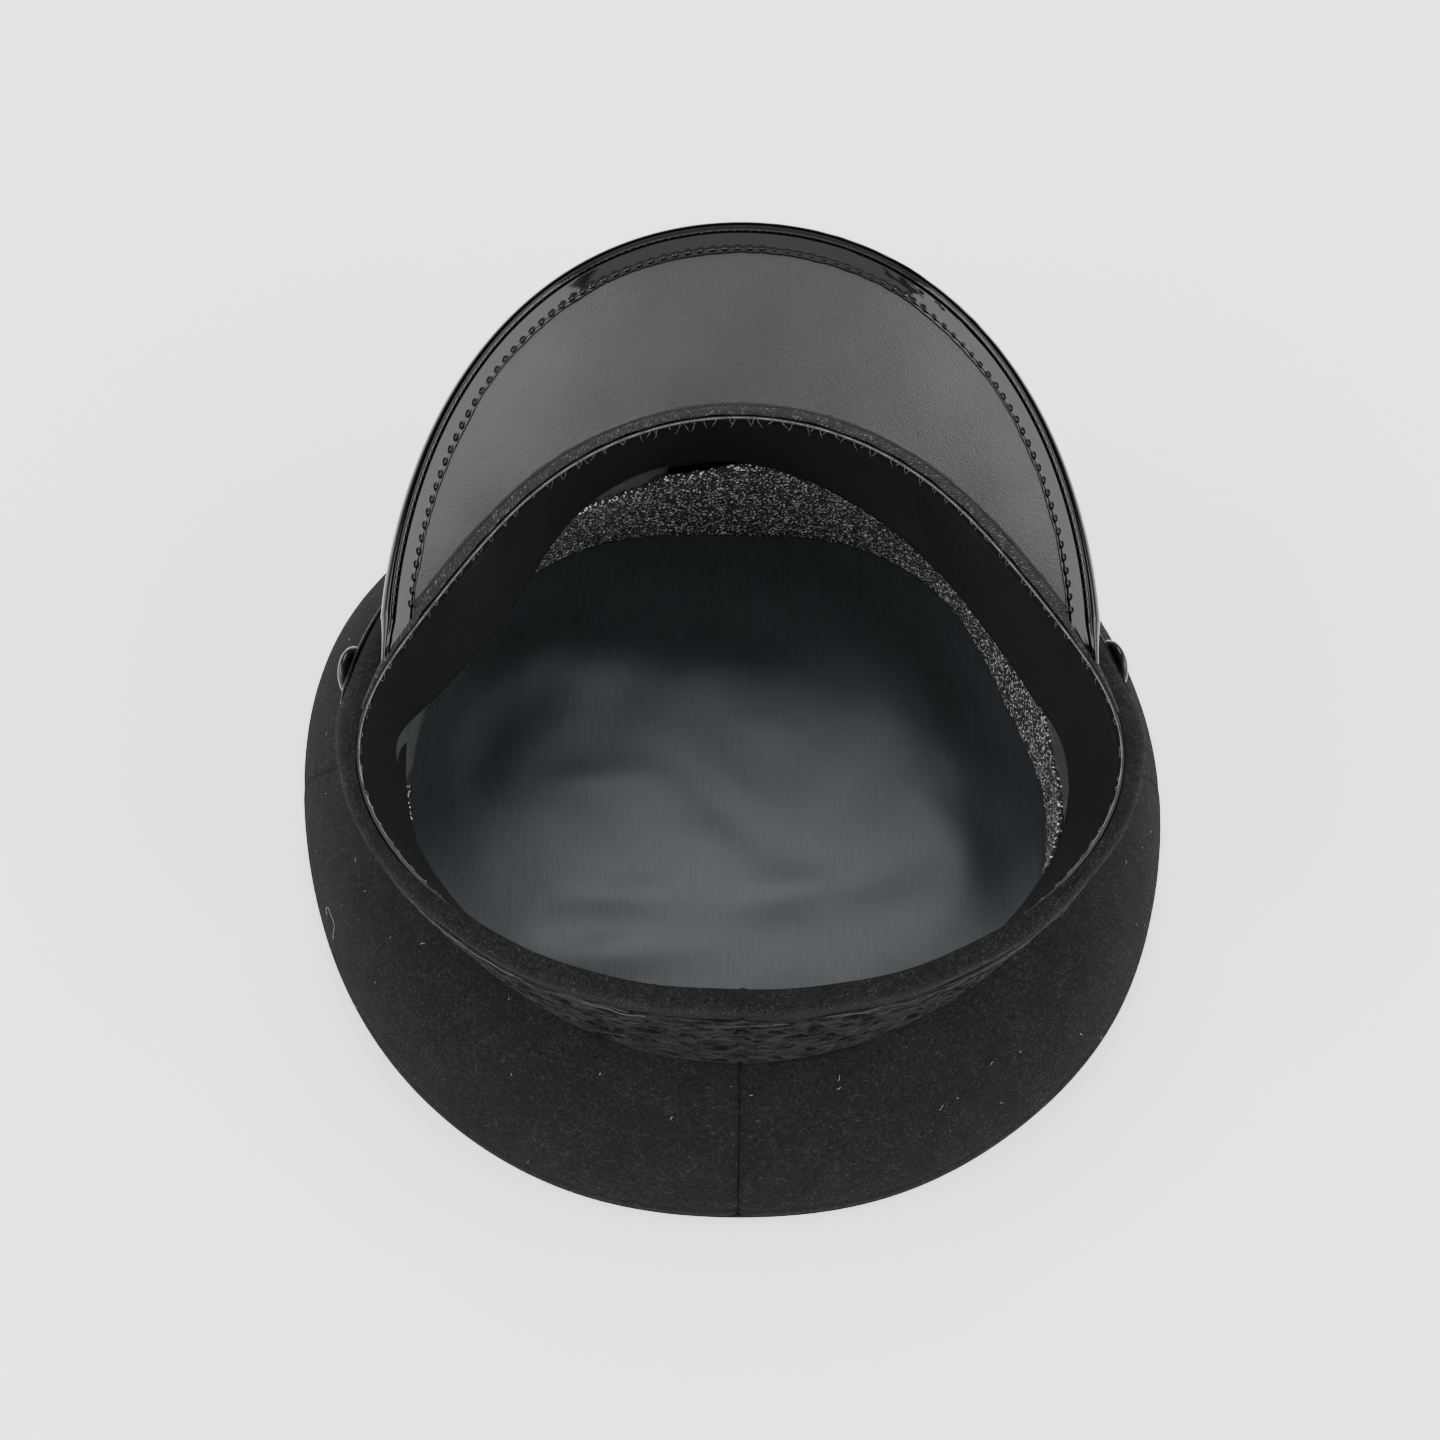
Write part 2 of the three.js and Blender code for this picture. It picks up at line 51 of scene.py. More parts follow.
# Camera: the view of the photograph.

CAMERA_TARGET = (0.0, 0.0, 60.0)
CAMERA_DISTANCE = 700.0
CAMERA_ELEVATION = 58.0
CAMERA_YAW = -1.93
CAMERA_ROLL = 1.93
CAMERA_LENS = 63.2
CAMERA_SHIFT = (-18.6 / 1440, -43.1 / 1440)


def make_camera():
    """Looks at the target from behind and above; roll turns the picture about the line of sight."""
    elevation, yaw, roll = np.radians([CAMERA_ELEVATION, CAMERA_YAW, CAMERA_ROLL])
    back = Vector((np.sin(yaw) * np.cos(elevation), -np.cos(yaw) * np.cos(elevation), np.sin(elevation)))
    level = Vector((np.cos(yaw), np.sin(yaw), 0.0))
    upright = back.cross(level)
    right = np.cos(roll) * level + np.sin(roll) * upright
    up = back.cross(right)
    camera = bpy.data.cameras.new("camera")
    camera.lens = CAMERA_LENS
    camera.sensor_width = 36.0
    camera.shift_x, camera.shift_y = CAMERA_SHIFT
    camera.clip_start = 0.01
    holder = bpy.data.objects.new("camera", camera)
    turn = Matrix((right, up, back)).transposed().to_4x4()
    place = (Vector(CAMERA_TARGET) + back * CAMERA_DISTANCE) * MM
    holder.matrix_world = Matrix.Translation(place) @ turn
    bpy.context.scene.collection.objects.link(holder)
    bpy.context.scene.camera = holder


make_camera()


# Measures round the head. Every angle is clockwise from the front (+Y) as seen from above, every
# radius is from the upright pole at y = -20 mm.

def closed_curve(values):
    """Cubic B-spline through evenly spaced values round the head, as a function of the angle.

    Its weights w solve (w[i-1] + 4 w[i] + w[i+1]) / 6 = value[i], divided out in Fourier space.
    """
    values = np.asarray(values, float)
    count = len(values)
    turn = 2 * np.pi * np.arange(count) / count
    weights = np.fft.ifft(np.fft.fft(values) * 6 / (4 + 2 * np.cos(turn))).real

    def at(angle):
        place = np.mod(np.asarray(angle, float) * count / 360, count)
        first = np.floor(place).astype(int)
        t = place - first
        basis = ((1 - t) ** 3, 3 * t**3 - 6 * t**2 + 4, 1 + 3 * t + 3 * t**2 - 3 * t**3, t**3)
        return sum(b * weights[(first + k - 1) % count] for k, b in enumerate(basis)) / 6

    return at


def both_sides(right, left=None):
    """Ten values from the front to the back at the right, and the left ones or the same again."""
    left = right if left is None else left
    return closed_curve(list(right) + list(left[-2:0:-1]))


# Radii: rim is the sweatband's fold, free_rows its free edge, join the foot of the band on the crown, foot
# the foam's foot on the tip, band_out the widest line of the roll, and edge the crown's edge seam.
# peak_reach and peak_lift are the radius and the height of the peak's edge.
rim = both_sides([84.2, 83.2, 81.3, 81.1, 87.6, 99.8, 100, 94.8, 89.7, 87.4])
free_rows = both_sides(
    [92.5, 86, 80, 77.8, 82, 90.4, 89.6, 87.5, 86.3, 86],
    [92.5, 92, 82.5, 75.5, 82.8, 91.4, 89.6, 87.5, 86.3, 86],
)
join = both_sides([97, 96.4, 94.7, 92.5, 90.3, 89.6, 88.2, 86.5, 86.1, 86])
foot = both_sides(
    [107.5, 110, 104.5, 94, 92, 89.4, 88.2, 87.6, 87.4, 87.3],
    [107.5, 111.5, 110, 103, 97, 90.5, 88.2, 87.6, 87.4, 87.3],
)
band_out = both_sides(
    [92.6, 93.2, 94.4, 95.6, 100.4, 107.2, 104.8, 99.8, 94.4, 92.1],
    [92.6, 93.2, 94.4, 97.6, 102.9, 106.8, 104.8, 99.8, 94.4, 92.1],
)
edge = both_sides(
    [138.8, 138.9, 137.6, 132.5, 126.5, 122.2, 121.3, 119.6, 118.5, 117],
    [138.8, 138.9, 139.8, 137.8, 128.8, 122.2, 120.3, 119.6, 118.5, 117],
)
peak_reach = both_sides(
    [127, 124, 114, 103, 95.8, 92.5, 92, 92, 92, 92],
    [127, 123.2, 113.1, 102.3, 95.5, 92.5, 92, 92, 92, 92],
)
peak_lift = both_sides([125, 121.9, 113.6, 103.2, 92.8, 84, 80, 80, 80, 80])

EDGE_HEIGHT = 8.6
BAND_WALL = 2.0
BAND_OUT_AT_JOIN = 4.6
SWEATBAND_WALL = 1.2
SWEATBAND_REACH = 0.8
PEAK_TIP_ANGLE = 82.5
PEAK_BOARD_WALL = 2.0
PEAK_FACING_WALL = 0.9
STRAP_HEIGHT = 71.5
STRAP_WIDTH = 12.0
BRAID_WIDTH = 28.5


def rim_height(angle):
    """Height of the rim: a plane that rises towards the front."""
    return 89.8 + 3.2 * np.cos(np.radians(angle))


def join_height(angle):
    """Height of the band's foot: a plane that rises towards the front."""
    return 52 + 2 * np.cos(np.radians(angle))


def at(angle, radius, height):
    """Points at angles, radii from the pole and heights, as an array that ends in x, y, z."""
    angle, radius, height = np.broadcast_arrays(np.radians(angle), radius, height)
    return np.stack([radius * np.sin(angle), POLE_Y + radius * np.cos(angle), height], -1)


def from_front(angle):
    """The angle brought between -180 and 180 degrees."""
    return np.mod(np.asarray(angle, float) + 180, 360) - 180


def free(angle):
    """The sweatband's free edge, with the corner that it makes on each side of the head."""
    turn = from_front(angle)
    left = 4.6 * np.exp(-(((turn + 90) / 6.5) ** 2))
    right = 1.4 * np.exp(-(((turn - 89) / 7) ** 2))
    return free_rows(angle) + left + right


def smooth_step(value):
    """0 below 0, 1 above 1 and 3 t^2 - 2 t^3 between."""
    t = np.clip(value, 0, 1)
    return t * t * (3 - 2 * t)


def mix(a, b, t):
    """A straight line from a at t = 0 to b at t = 1."""
    return a + (b - a) * t


def through(angle, table):
    """Straight lines through a table of (angle, value), closed round the head."""
    places, values = zip(*table)
    return np.interp(from_front(angle), places, values)


def waves(x, y, size, seed):
    """Soft unevenness between about -1 and 1: nine sine waves of about one length, each its own way."""
    rng = np.random.default_rng(seed)
    headings = rng.uniform(0, np.pi, 9)
    phases = rng.uniform(0, 6.3, 9)
    stretches = rng.uniform(0.7, 1.4, 9)
    total = 0
    for heading, phase, stretch in zip(headings, phases, stretches):
        wave = (x * np.cos(heading) + y * np.sin(heading)) * 2 * np.pi / (size * stretch)
        total = total + np.sin(wave + phase)
    return total / 3.5


def grain(shape, cells, seed, closed=False):
    """Random values on a lattice of cells, blended with smooth steps over a grid of the given shape."""
    rng = np.random.default_rng(seed)
    lattice = rng.uniform(-1, 1, (cells[0] + 1, cells[1] + 1))
    if closed:
        lattice[-1] = lattice[0]
    for axis, count in enumerate(shape):
        span = count if closed and axis == 0 else max(count - 1, 1)
        place = np.arange(count) * cells[axis] / span
        first = np.minimum(place.astype(int), cells[axis] - 1)
        t = smooth_step(place - first)
        t = t[:, None] if axis == 0 else t[None, :]
        low = np.take(lattice, first, axis)
        high = np.take(lattice, first + 1, axis)
        lattice = mix(low, high, t)
    return lattice


def lengths(points, axis):
    """Distances along one way of a grid, measured on its middle line, from 0."""
    line = np.take(points, points.shape[1 - axis] // 2, 1 - axis)
    return np.concatenate([[0], np.cumsum(np.linalg.norm(np.diff(line, axis=0), axis=1))])


# Meshes

def build(name, points, faces, corners, material, replaces, weld=False):
    """One mesh object at the origin from points in millimetres, faces and a UV pair for each corner."""
    mesh = bpy.data.meshes.new(name)
    mesh.from_pydata((points * MM).tolist(), [], faces)
    layer = mesh.uv_layers.new(name="UVMap")
    layer.data.foreach_set("uv", np.ascontiguousarray(corners, dtype=np.float32).ravel())
    mesh.polygons.foreach_set("use_smooth", [True] * len(mesh.polygons))
    mesh.materials.append(material)
    if weld:
        shell = bmesh.new()
        shell.from_mesh(mesh)
        bmesh.ops.remove_doubles(shell, verts=shell.verts, dist=1e-6)
        shell.to_mesh(mesh)
        shell.free()
    mesh.update()
    piece = bpy.data.objects.new(name, mesh)
    bpy.context.scene.collection.objects.link(piece)
    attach(piece, "root")
    if replaces:
        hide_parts(*replaces)
    return piece


def grid_corners(rows, columns, wrap_rows, wrap_columns):
    """Row and column of the four corners of each cell, counted on past the last where the grid closes."""
    i, j = np.meshgrid(
        np.arange(rows - (not wrap_rows)), np.arange(columns - (not wrap_columns)), indexing="ij"
    )
    ci = np.stack([i, i + 1, i + 1, i], -1).reshape(-1, 4)
    cj = np.stack([j, j, j + 1, j + 1], -1).reshape(-1, 4)
    return ci, cj


def surface(name, points, material, replaces=(), closed=False, facing=None, wall=0.0, weld=False):
    """A surface through points[i, j]; closed joins its last row to its first.

    facing(points) gives the way that its outer side looks. wall grows inwards from that side.
    Its UV map is in millimetres along both ways of the grid.
    """
    rows, columns = points.shape[:2]
    ci, cj = grid_corners(rows, columns, closed, False)
    index = (ci % rows) * columns + cj
    flat = points.reshape(-1, 3)
    if facing is not None:
        a, b, c = (flat[index[:, k]] for k in (0, 1, 2))
        normal = np.cross(b - a, c - a)
        if np.sum(normal * facing((a + c) / 2)) < 0:
            index, ci, cj = index[:, ::-1], ci[:, ::-1], cj[:, ::-1]
    along = lengths(np.concatenate([points, points[:1]]), 0)
    across = lengths(points, 1)
    uv = np.stack([along[ci], across[cj]], -1)
    piece = build(name, flat, index.tolist(), uv, material, replaces, weld)
    if wall:
        thick = piece.modifiers.new("wall", "SOLIDIFY")
        thick.thickness = wall * MM
        thick.offset = -1
        thick.use_even_offset = True
    return piece


def loft(name, points, material, replaces=(), closed=False):
    """A closed skin round section loops points[i, j]; an open one gets a face at each end."""
    rows, columns = points.shape[:2]
    ci, cj = grid_corners(rows, columns, closed, True)
    index = (ci % rows) * columns + cj % columns
    flat = points.reshape(-1, 3)
    a, b, c, d = (flat[index[:, k]] for k in range(4))
    volume = np.sum(a * np.cross(b, c)) + np.sum(a * np.cross(c, d))
    if volume < 0:
        index, ci, cj = index[:, ::-1], ci[:, ::-1], cj[:, ::-1]
    along = lengths(np.concatenate([points, points[:1]]), 0)
    across = lengths(np.concatenate([points, points[:, :1]], 1), 1)
    uv = np.stack([along[ci], across[cj]], -1)
    faces = index.tolist()
    if not closed:
        first = list(range(columns))
        last = [(rows - 1) * columns + j for j in range(columns)]
        caps = [first[::-1], last] if volume > 0 else [first, last[::-1]]
        faces += caps
        uv = np.concatenate([uv.reshape(-1, 2), np.zeros((2 * columns, 2))])
    return build(name, flat, faces, uv, material, replaces)


def tubes(name, paths, normals, radii, material, sides=6):
    """Many threads: each path's points carry a ring of the given radius, in the plane across the path.

    paths is (threads, points, 3), normals (threads, 3), and radii one value for each point.
    """
    count, steps = paths.shape[:2]
    tangent = np.gradient(paths, axis=1)
    tangent /= np.linalg.norm(tangent, axis=2, keepdims=True) + 1e-9
    first = np.cross(tangent, normals[:, None, :])
    first /= np.linalg.norm(first, axis=2, keepdims=True) + 1e-9
    second = np.cross(tangent, first)
    turn = 2 * np.pi * np.arange(sides) / sides
    ring = first[:, :, None] * np.cos(turn)[:, None] + second[:, :, None] * np.sin(turn)[:, None]
    radii = np.broadcast_to(radii, (count, steps))
    points = paths[:, :, None] + ring * radii[:, :, None, None]
    ci, cj = grid_corners(steps, sides, False, True)
    cell = ci * sides + cj % sides
    index = (np.arange(count)[:, None, None] * steps * sides + cell[None]).reshape(-1, 4)
    faces = index[:, ::-1].tolist()
    start = np.arange(count)[:, None] * steps * sides
    faces += (start + np.arange(sides)).tolist()
    faces += (start + (steps - 1) * sides + np.arange(sides)[::-1]).tolist()
    corners = sum(len(face) for face in faces)
    return build(name, points.reshape(-1, 3), faces, np.zeros((corners, 2)), material, ())


def outwards(points):
    """Away from the pole, level."""
    way = points - np.array([0, POLE_Y, 0])
    way[:, 2] = 0
    return way


def inwards(points):
    """Towards the pole, level."""
    return -outwards(points)


def upwards(points):
    """Straight up."""
    return np.broadcast_to([0.0, 0.0, 1.0], points.shape)


def downwards(points):
    """Straight down."""
    return -upwards(points)


# Materials

def colour(code):
    """An sRGB hex code as linear red, green, blue and alpha."""
    value = np.array([int(code[k : k + 2], 16) for k in (1, 3, 5)]) / 255
    linear = np.where(value <= 0.04045, value / 12.92, ((value + 0.055) / 1.055) ** 2.4)
    return (*linear.tolist(), 1.0)


def add(tree, kind, inputs=None, stops=(), **settings):
    """Adds a node, sets what it is, and links or sets its inputs.

    stops are the colours of a colour ramp, as (place, hex code).
    """
    made = tree.nodes.new("ShaderNode" + kind)
    for key, value in settings.items():
        setattr(made, key, value)
    for key, value in (inputs or {}).items():
        if isinstance(value, bpy.types.NodeSocket):
            tree.links.new(value, made.inputs[key])
        else:
            made.inputs[key].default_value = value
    if stops:
        elements = made.color_ramp.elements
        while len(elements) < len(stops):
            elements.new(0.5)
        for element, (place, code) in zip(elements, stops):
            element.position = place
            element.color = colour(code)
    return made


def shader(name, **constants):
    """A material with one surface shader; constants name its sockets, with _ for a space."""
    material = bpy.data.materials.new(name)
    material.use_nodes = True
    tree = material.node_tree
    surface_shader = tree.nodes["Principled BSDF"]
    for key, value in constants.items():
        surface_shader.inputs[key.replace("_", " ")].default_value = value
    return material, tree, surface_shader


def paint(tree, body, factor, *stops):
    """Colours the surface along a factor from 0 to 1, through stops of (place, hex code)."""
    tones = add(tree, "ValToRGB", {"Fac": factor}, stops)
    tree.links.new(tones.outputs["Color"], body.inputs["Base Color"])


def relief(tree, body, height, depth_mm, strength):
    """Raises the surface by a height of 0 to 1 times a depth in millimetres."""
    raised = add(tree, "Bump", {"Height": height, "Distance": depth_mm * MM, "Strength": strength})
    tree.links.new(raised.outputs["Normal"], body.inputs["Normal"])


def per_mm(size):
    """Scale of a pattern on Object coordinates whose features are this many millimetres wide."""
    return 1 / (size * MM)


def wool_melton():
    """Wool melton, woven, fulled and brushed.

    No weave shows, only short matted fibres that catch light at grazing angles.
    """
    material, tree, body = shader(
        "black_wool_melton_brushed", Roughness=1.0, Sheen_Weight=0.01, Sheen_Roughness=0.5,
        Sheen_Tint=colour("#d4d4d8"), Specular_IOR_Level=0.08,
    )
    place = add(tree, "TexCoord").outputs["Object"]
    blotch = add(tree, "TexNoise", {"Vector": place, "Scale": per_mm(9), "Detail": 3.0})
    # Wool fibres are 0.03 mm thick; their tufts are drawn 0.9 mm wide, so that they show.
    nap = add(tree, "TexNoise", {
        "Vector": place, "Scale": per_mm(0.9), "Detail": 6.0, "Roughness": 0.7, "Distortion": 1.2,
    })
    both = add(tree, "Mix", {0: 0.12, 2: nap.outputs["Fac"], 3: blotch.outputs["Fac"]}, data_type="FLOAT")
    paint(
        tree, body, both.outputs[0],
        (0.3, "#0b0b0b"), (0.5, "#161616"), (0.6, "#212122"), (0.75, "#404041"),
    )
    relief(tree, body, nap.outputs["Fac"], 0.5, 0.9)
    return material


def gloss_plastic(name, code, gloss):
    """Black gloss plastic with slight orange peel.

    Patent leatherette is cloth coated with smooth PVC, and a button is moulded and polished.
    """
    material, tree, body = shader(
        name, Base_Color=colour(code), Roughness=gloss, IOR=1.5, Specular_IOR_Level=0.28,
    )
    place = add(tree, "TexCoord").outputs["Object"]
    peel = add(tree, "TexNoise", {"Vector": place, "Scale": per_mm(9), "Detail": 1.0})
    relief(tree, body, peel.outputs["Fac"], 0.08, 0.4)
    return material


def grained_leatherette(name, dark, light, grain_mm, rough, depth_mm, shine):
    """PVC leatherette, calendered and embossed: fine pebble grain, its tone mottled at random."""
    material, tree, body = shader(name, Roughness=rough, IOR=1.5, Specular_IOR_Level=shine)
    place = add(tree, "TexCoord").outputs["Object"]
    pebble = add(tree, "TexVoronoi", {"Vector": place, "Scale": per_mm(grain_mm)}, feature="SMOOTH_F1")
    cloud = add(tree, "TexNoise", {"Vector": place, "Scale": per_mm(22), "Detail": 4.0})
    fine = add(tree, "TexNoise", {"Vector": place, "Scale": per_mm(grain_mm * 0.6), "Detail": 3.0})
    shade = add(tree, "Mix", {0: 0.4, 2: fine.outputs["Fac"], 3: cloud.outputs["Fac"]}, data_type="FLOAT")
    paint(tree, body, shade.outputs[0], (0.3, dark), (0.7, light))
    relief(tree, body, pebble.outputs["Distance"], depth_mm, 0.6)
    return material


def foam_open_cell():
    """Polyurethane foam, cast and slit: open cells 0.45 mm wide, dark, with a few cells painted white as
    glints of their thin walls.
    """
    material, tree, body = shader("foam_open_cell_slit", Roughness=0.75, IOR=1.5)
    place = add(tree, "TexCoord").outputs["Object"]
    cells = add(tree, "TexVoronoi", {"Vector": place, "Scale": per_mm(0.45)})
    tone = add(tree, "SeparateColor", {"Color": cells.outputs["Color"]}).outputs["Red"]
    glint_scatter = add(tree, "TexNoise", {"Vector": place, "Scale": per_mm(0.5), "Detail": 4.0, "Roughness": 0.8})
    both = add(tree, "Mix", {0: 0.4, 2: tone, 3: glint_scatter.outputs["Fac"]}, data_type="FLOAT")
    # Cells at the top of the ramp are painted white: painted glints of the cell walls.
    paint(
        tree, body, both.outputs[0],
        (0.46, "#0a0a0a"), (0.64, "#1f1f1f"), (0.72, "#444444"), (0.765, "#ffffff"),
    )
    relief(tree, body, cells.outputs["Distance"], 0.4, 1.0)
    return material


def satin_lining_cloth():
    """Acetate satin lining, woven: long smooth threads one way give a soft sheen and fine upright lines."""
    material, tree, body = shader(
        "slate_satin_woven", Roughness=0.56, IOR=1.5, Specular_IOR_Level=0.8,
        Specular_Tint=colour("#f4fbff"), Sheen_Weight=0.12, Sheen_Roughness=0.4,
        Sheen_Tint=colour("#a7b4b9"),
    )
    place = add(tree, "TexCoord").outputs["Object"]
    # Threads lie 0.1 mm apart in the real cloth; they are drawn 0.45 mm apart, so that they show.
    threads = add(tree, "Mapping", {"Vector": place, "Scale": (1.0, 0.06, 0.06)})
    threads = threads.outputs["Vector"]
    warp = add(tree, "TexNoise", {"Vector": threads, "Scale": per_mm(0.45), "Detail": 2.0})
    cloud = add(tree, "TexNoise", {"Vector": place, "Scale": per_mm(45), "Detail": 2.0})
    shade = add(tree, "Mix", {0: 0.3, 2: warp.outputs["Fac"], 3: cloud.outputs["Fac"]}, data_type="FLOAT")
    paint(tree, body, shade.outputs[0], (0.3, "#101517"), (0.7, "#21282b"))
    relief(tree, body, warp.outputs["Fac"], 0.05, 0.6)
    return material


def knitted_tape():
    """Cotton tape, warp knitted and dyed dark grey: loops in slanting rows with a fuzzy surface."""
    material, tree, body = shader("tape_cotton_knitted", Roughness=0.95, Sheen_Weight=0.06)
    along = add(tree, "UVMap").outputs["UV"]
    rows = add(
        tree, "TexWave", {"Vector": along, "Scale": 0.5, "Distortion": 6.0, "Detail": 3.0},
        bands_direction="DIAGONAL",
    )
    place = add(tree, "TexCoord").outputs["Object"]
    fuzz = add(tree, "TexNoise", {"Vector": place, "Scale": per_mm(1.1), "Detail": 5.0, "Roughness": 0.75})
    both = add(tree, "Mix", {0: 0.88, 2: rows.outputs["Fac"], 3: fuzz.outputs["Fac"]}, data_type="FLOAT")
    paint(
        tree, body, both.outputs[0],
        (0.36, "#020202"), (0.5, "#0a0c0d"), (0.58, "#1e2122"), (0.68, "#505455"),
    )
    relief(tree, body, both.outputs[0], 0.5, 0.9)
    return material


def mohair_braid():
    """Mohair braid, jacquard woven and brushed: matted black threads along it, with the slits between painted
    near black as their shade.
    """
    material, tree, body = shader("mohair_braid_woven", Roughness=0.95, Specular_IOR_Level=0.15)
    along = add(tree, "UVMap").outputs["UV"]
    # The slits are about 6 mm long and 1.1 mm high.
    stretched = add(tree, "Mapping", {"Vector": along, "Scale": (0.16, 0.9, 1.0)}).outputs["Vector"]
    slit = add(tree, "TexNoise", {"Vector": stretched, "Scale": 1.0, "Detail": 3.0, "Distortion": 0.6})
    place = add(tree, "TexCoord").outputs["Object"]
    fuzz = add(tree, "TexNoise", {"Vector": place, "Scale": per_mm(0.8), "Detail": 5.0, "Roughness": 0.7})
    both = add(tree, "Mix", {0: 0.3, 2: slit.outputs["Fac"], 3: fuzz.outputs["Fac"]}, data_type="FLOAT")
    # The lowest parts of the pattern, the slits, are painted near black: painted shade between the threads.
    paint(
        tree, body, both.outputs[0],
        (0.4, "#010101"), (0.46, "#030303"), (0.5, "#121010"), (0.7, "#2a2727"),
    )
    relief(tree, body, both.outputs[0], 0.8, 1.0)
    return material


def plain_plastic(name, code, rough):
    """Extruded or moulded plastic: an even colour with faint flow marks."""
    material, tree, body = shader(name, Base_Color=colour(code), Roughness=rough, IOR=1.5)
    place = add(tree, "TexCoord").outputs["Object"]
    flow = add(tree, "TexNoise", {"Vector": place, "Scale": per_mm(5), "Detail": 2.0})
    relief(tree, body, flow.outputs["Fac"], 0.08, 0.4)
    return material


def spun_thread(name, dark, light, rough):
    """Spun and twisted thread or loose fibre: two tones mottled at about 0.3 mm."""
    material, tree, body = shader(name, Roughness=rough, Sheen_Weight=0.15)
    place = add(tree, "TexCoord").outputs["Object"]
    twist = add(tree, "TexNoise", {"Vector": place, "Scale": per_mm(0.3), "Detail": 2.0})
    paint(tree, body, twist.outputs["Fac"], (0.35, dark), (0.65, light))
    return material


WOOL = wool_melton()
PATENT = gloss_plastic("black_patent_coated", "#070707", 0.08)
BUTTON_PLASTIC = gloss_plastic("black_button_moulded_polished", "#1c1c1e", 0.22)
FACING_SKIN = grained_leatherette("grey_leatherette_embossed", "#131312", "#2a2928", 0.4, 0.48, 0.16, 0.5)
SWEAT_SKIN = grained_leatherette("black_leatherette_embossed", "#0a0a0b", "#111112", 0.8, 0.5, 0.06, 0.34)
FOAM = foam_open_cell()
SATIN = satin_lining_cloth()
TAPE = knitted_tape()
BRAID = mohair_braid()
STIFFENER = plain_plastic("grey_stiffener_extruded", "#3c3e3e", 0.4)
# The sweatband fold's painted highlight is a pale crest mottled as finely as thread is, so the same nodes
# draw it.
FOLD_HIGHLIGHT_SKIN = spun_thread("black_leatherette_painted_highlight", "#242525", "#767878", 0.45)
# A dark matt seam thread; along the tape it also serves as painted shadow of the gap between the tape and the
# facing.
SEAM_THREAD_AND_SHADE = spun_thread("black_seam_thread_and_painted_shade", "#020202", "#0a0a0a", 0.9)
BLACK_THREAD = spun_thread("black_thread_twisted", "#030303", "#101010", 0.3)
GREY_THREAD = spun_thread("grey_thread_twisted", "#343839", "#666c6e", 0.7)
LINT = spun_thread("wool_lint_fibre", "#161617", "#282829", 0.95)
GREY_FIBRE = spun_thread("braid_mohair_fibre", "#242424", "#4a4a4a", 0.9)
PALE_LINT = spun_thread("pale_lint_fibre", "#8b8b8e", "#c6c6c8", 0.8)


# Crown

SEAM_GROOVE_DEPTH = 0.9
SEAM_GROOVE_WIDTH = 1.5
EDGE_SEAM_DEPTH = 0.3
EDGE_SEAM_AT = 0.055
CROWN_BOW = 9.0
CROWN_SLOPE = 57.0
CROWN_MIDDLE_RADIUS = 105.0
CROWN_WALL = 1.6
TIP_TURN = 22.0
TIP_RIM_RISE = 7.7


def crown_outline(angle, v):
    """Outer face of the crown from the edge (v 0) to the band (v 1).

    Radius and height lie on a quadratic Bezier curve whose middle point is pushed out by CROWN_BOW.
    """
    foot_r, foot_z = edge(angle), EDGE_HEIGHT
    top_r, top_z = join(angle) + BAND_OUT_AT_JOIN - 0.4, join_height(angle) - 0.5
    along_r, along_z = top_r - foot_r, top_z - foot_z
    size = np.hypot(along_r, along_z)
    middle_r = (foot_r + top_r) / 2 + CROWN_BOW * along_z / size
    middle_z = (foot_z + top_z) / 2 - CROWN_BOW * along_r / size
    a, b, c = (1 - v) ** 2, 2 * v * (1 - v), v * v
    return a * foot_r + b * middle_r + c * top_r, a * foot_z + b * middle_z + c * top_z


def crown_surface(angle, v, lift=0.0):
    """Points on the crown's outer face with its soft unevenness, raised by a lift in millimetres."""
    radius, height = crown_outline(angle, v)
    ahead = crown_outline(angle, v + 0.01)
    along = np.stack([ahead[0] - radius, ahead[1] - height])
    along = along / np.linalg.norm(along, axis=0)
    uneven = 0.35 * waves(angle * 2.0, v * 60, 55, 3) * np.sin(np.pi * np.clip(v, 0, 1))
    out = lift + uneven
    return at(angle, radius + along[1] * out, height - along[0] * out)


def make_quarter(name, node, edge_angles, join_angles):
    """One panel: rows run from seam to seam, with a groove at each, and its edge turns in."""
    u = np.linspace(0, 1, 121)[:, None]
    v = np.linspace(-0.01, 1, 51)[None, :]
    trim = 0.03
    start = mix(edge_angles[0], join_angles[0], v) + trim
    end = mix(edge_angles[1], join_angles[1], v) - trim
    angle = mix(start, end, u)
    arc = np.radians(np.minimum(angle - start, end - angle)) * CROWN_MIDDLE_RADIUS
    middle_seam = np.abs(np.cos(np.radians(angle)))
    groove = -SEAM_GROOVE_DEPTH * mix(0.15, 1, middle_seam) * np.exp(-((arc / SEAM_GROOVE_WIDTH) ** 2))
    pucker = 0.1 * np.exp(-arc / 5) * np.sin(v * 60 + u * 9)
    turn_in = -0.5 * np.exp(-((v + 0.01) / 0.03) ** 2)
    edge_seam = -EDGE_SEAM_DEPTH * np.exp(-(((v - EDGE_SEAM_AT) * CROWN_SLOPE) ** 2))
    points = crown_surface(angle, v, groove + pucker + turn_in + edge_seam)
    surface(name, points, WOOL, [node], facing=outwards, wall=CROWN_WALL)


make_quarter("cloth_front_right", "quarter_front_right", (0, 84), (0, 90))
make_quarter("cloth_back_right", "quarter_back_right", (84, 180), (90, 180))
make_quarter("cloth_back_left", "quarter_back_left", (180, 276), (180, 270))
make_quarter("cloth_front_left", "quarter_front_left", (276, 360), (270, 360))


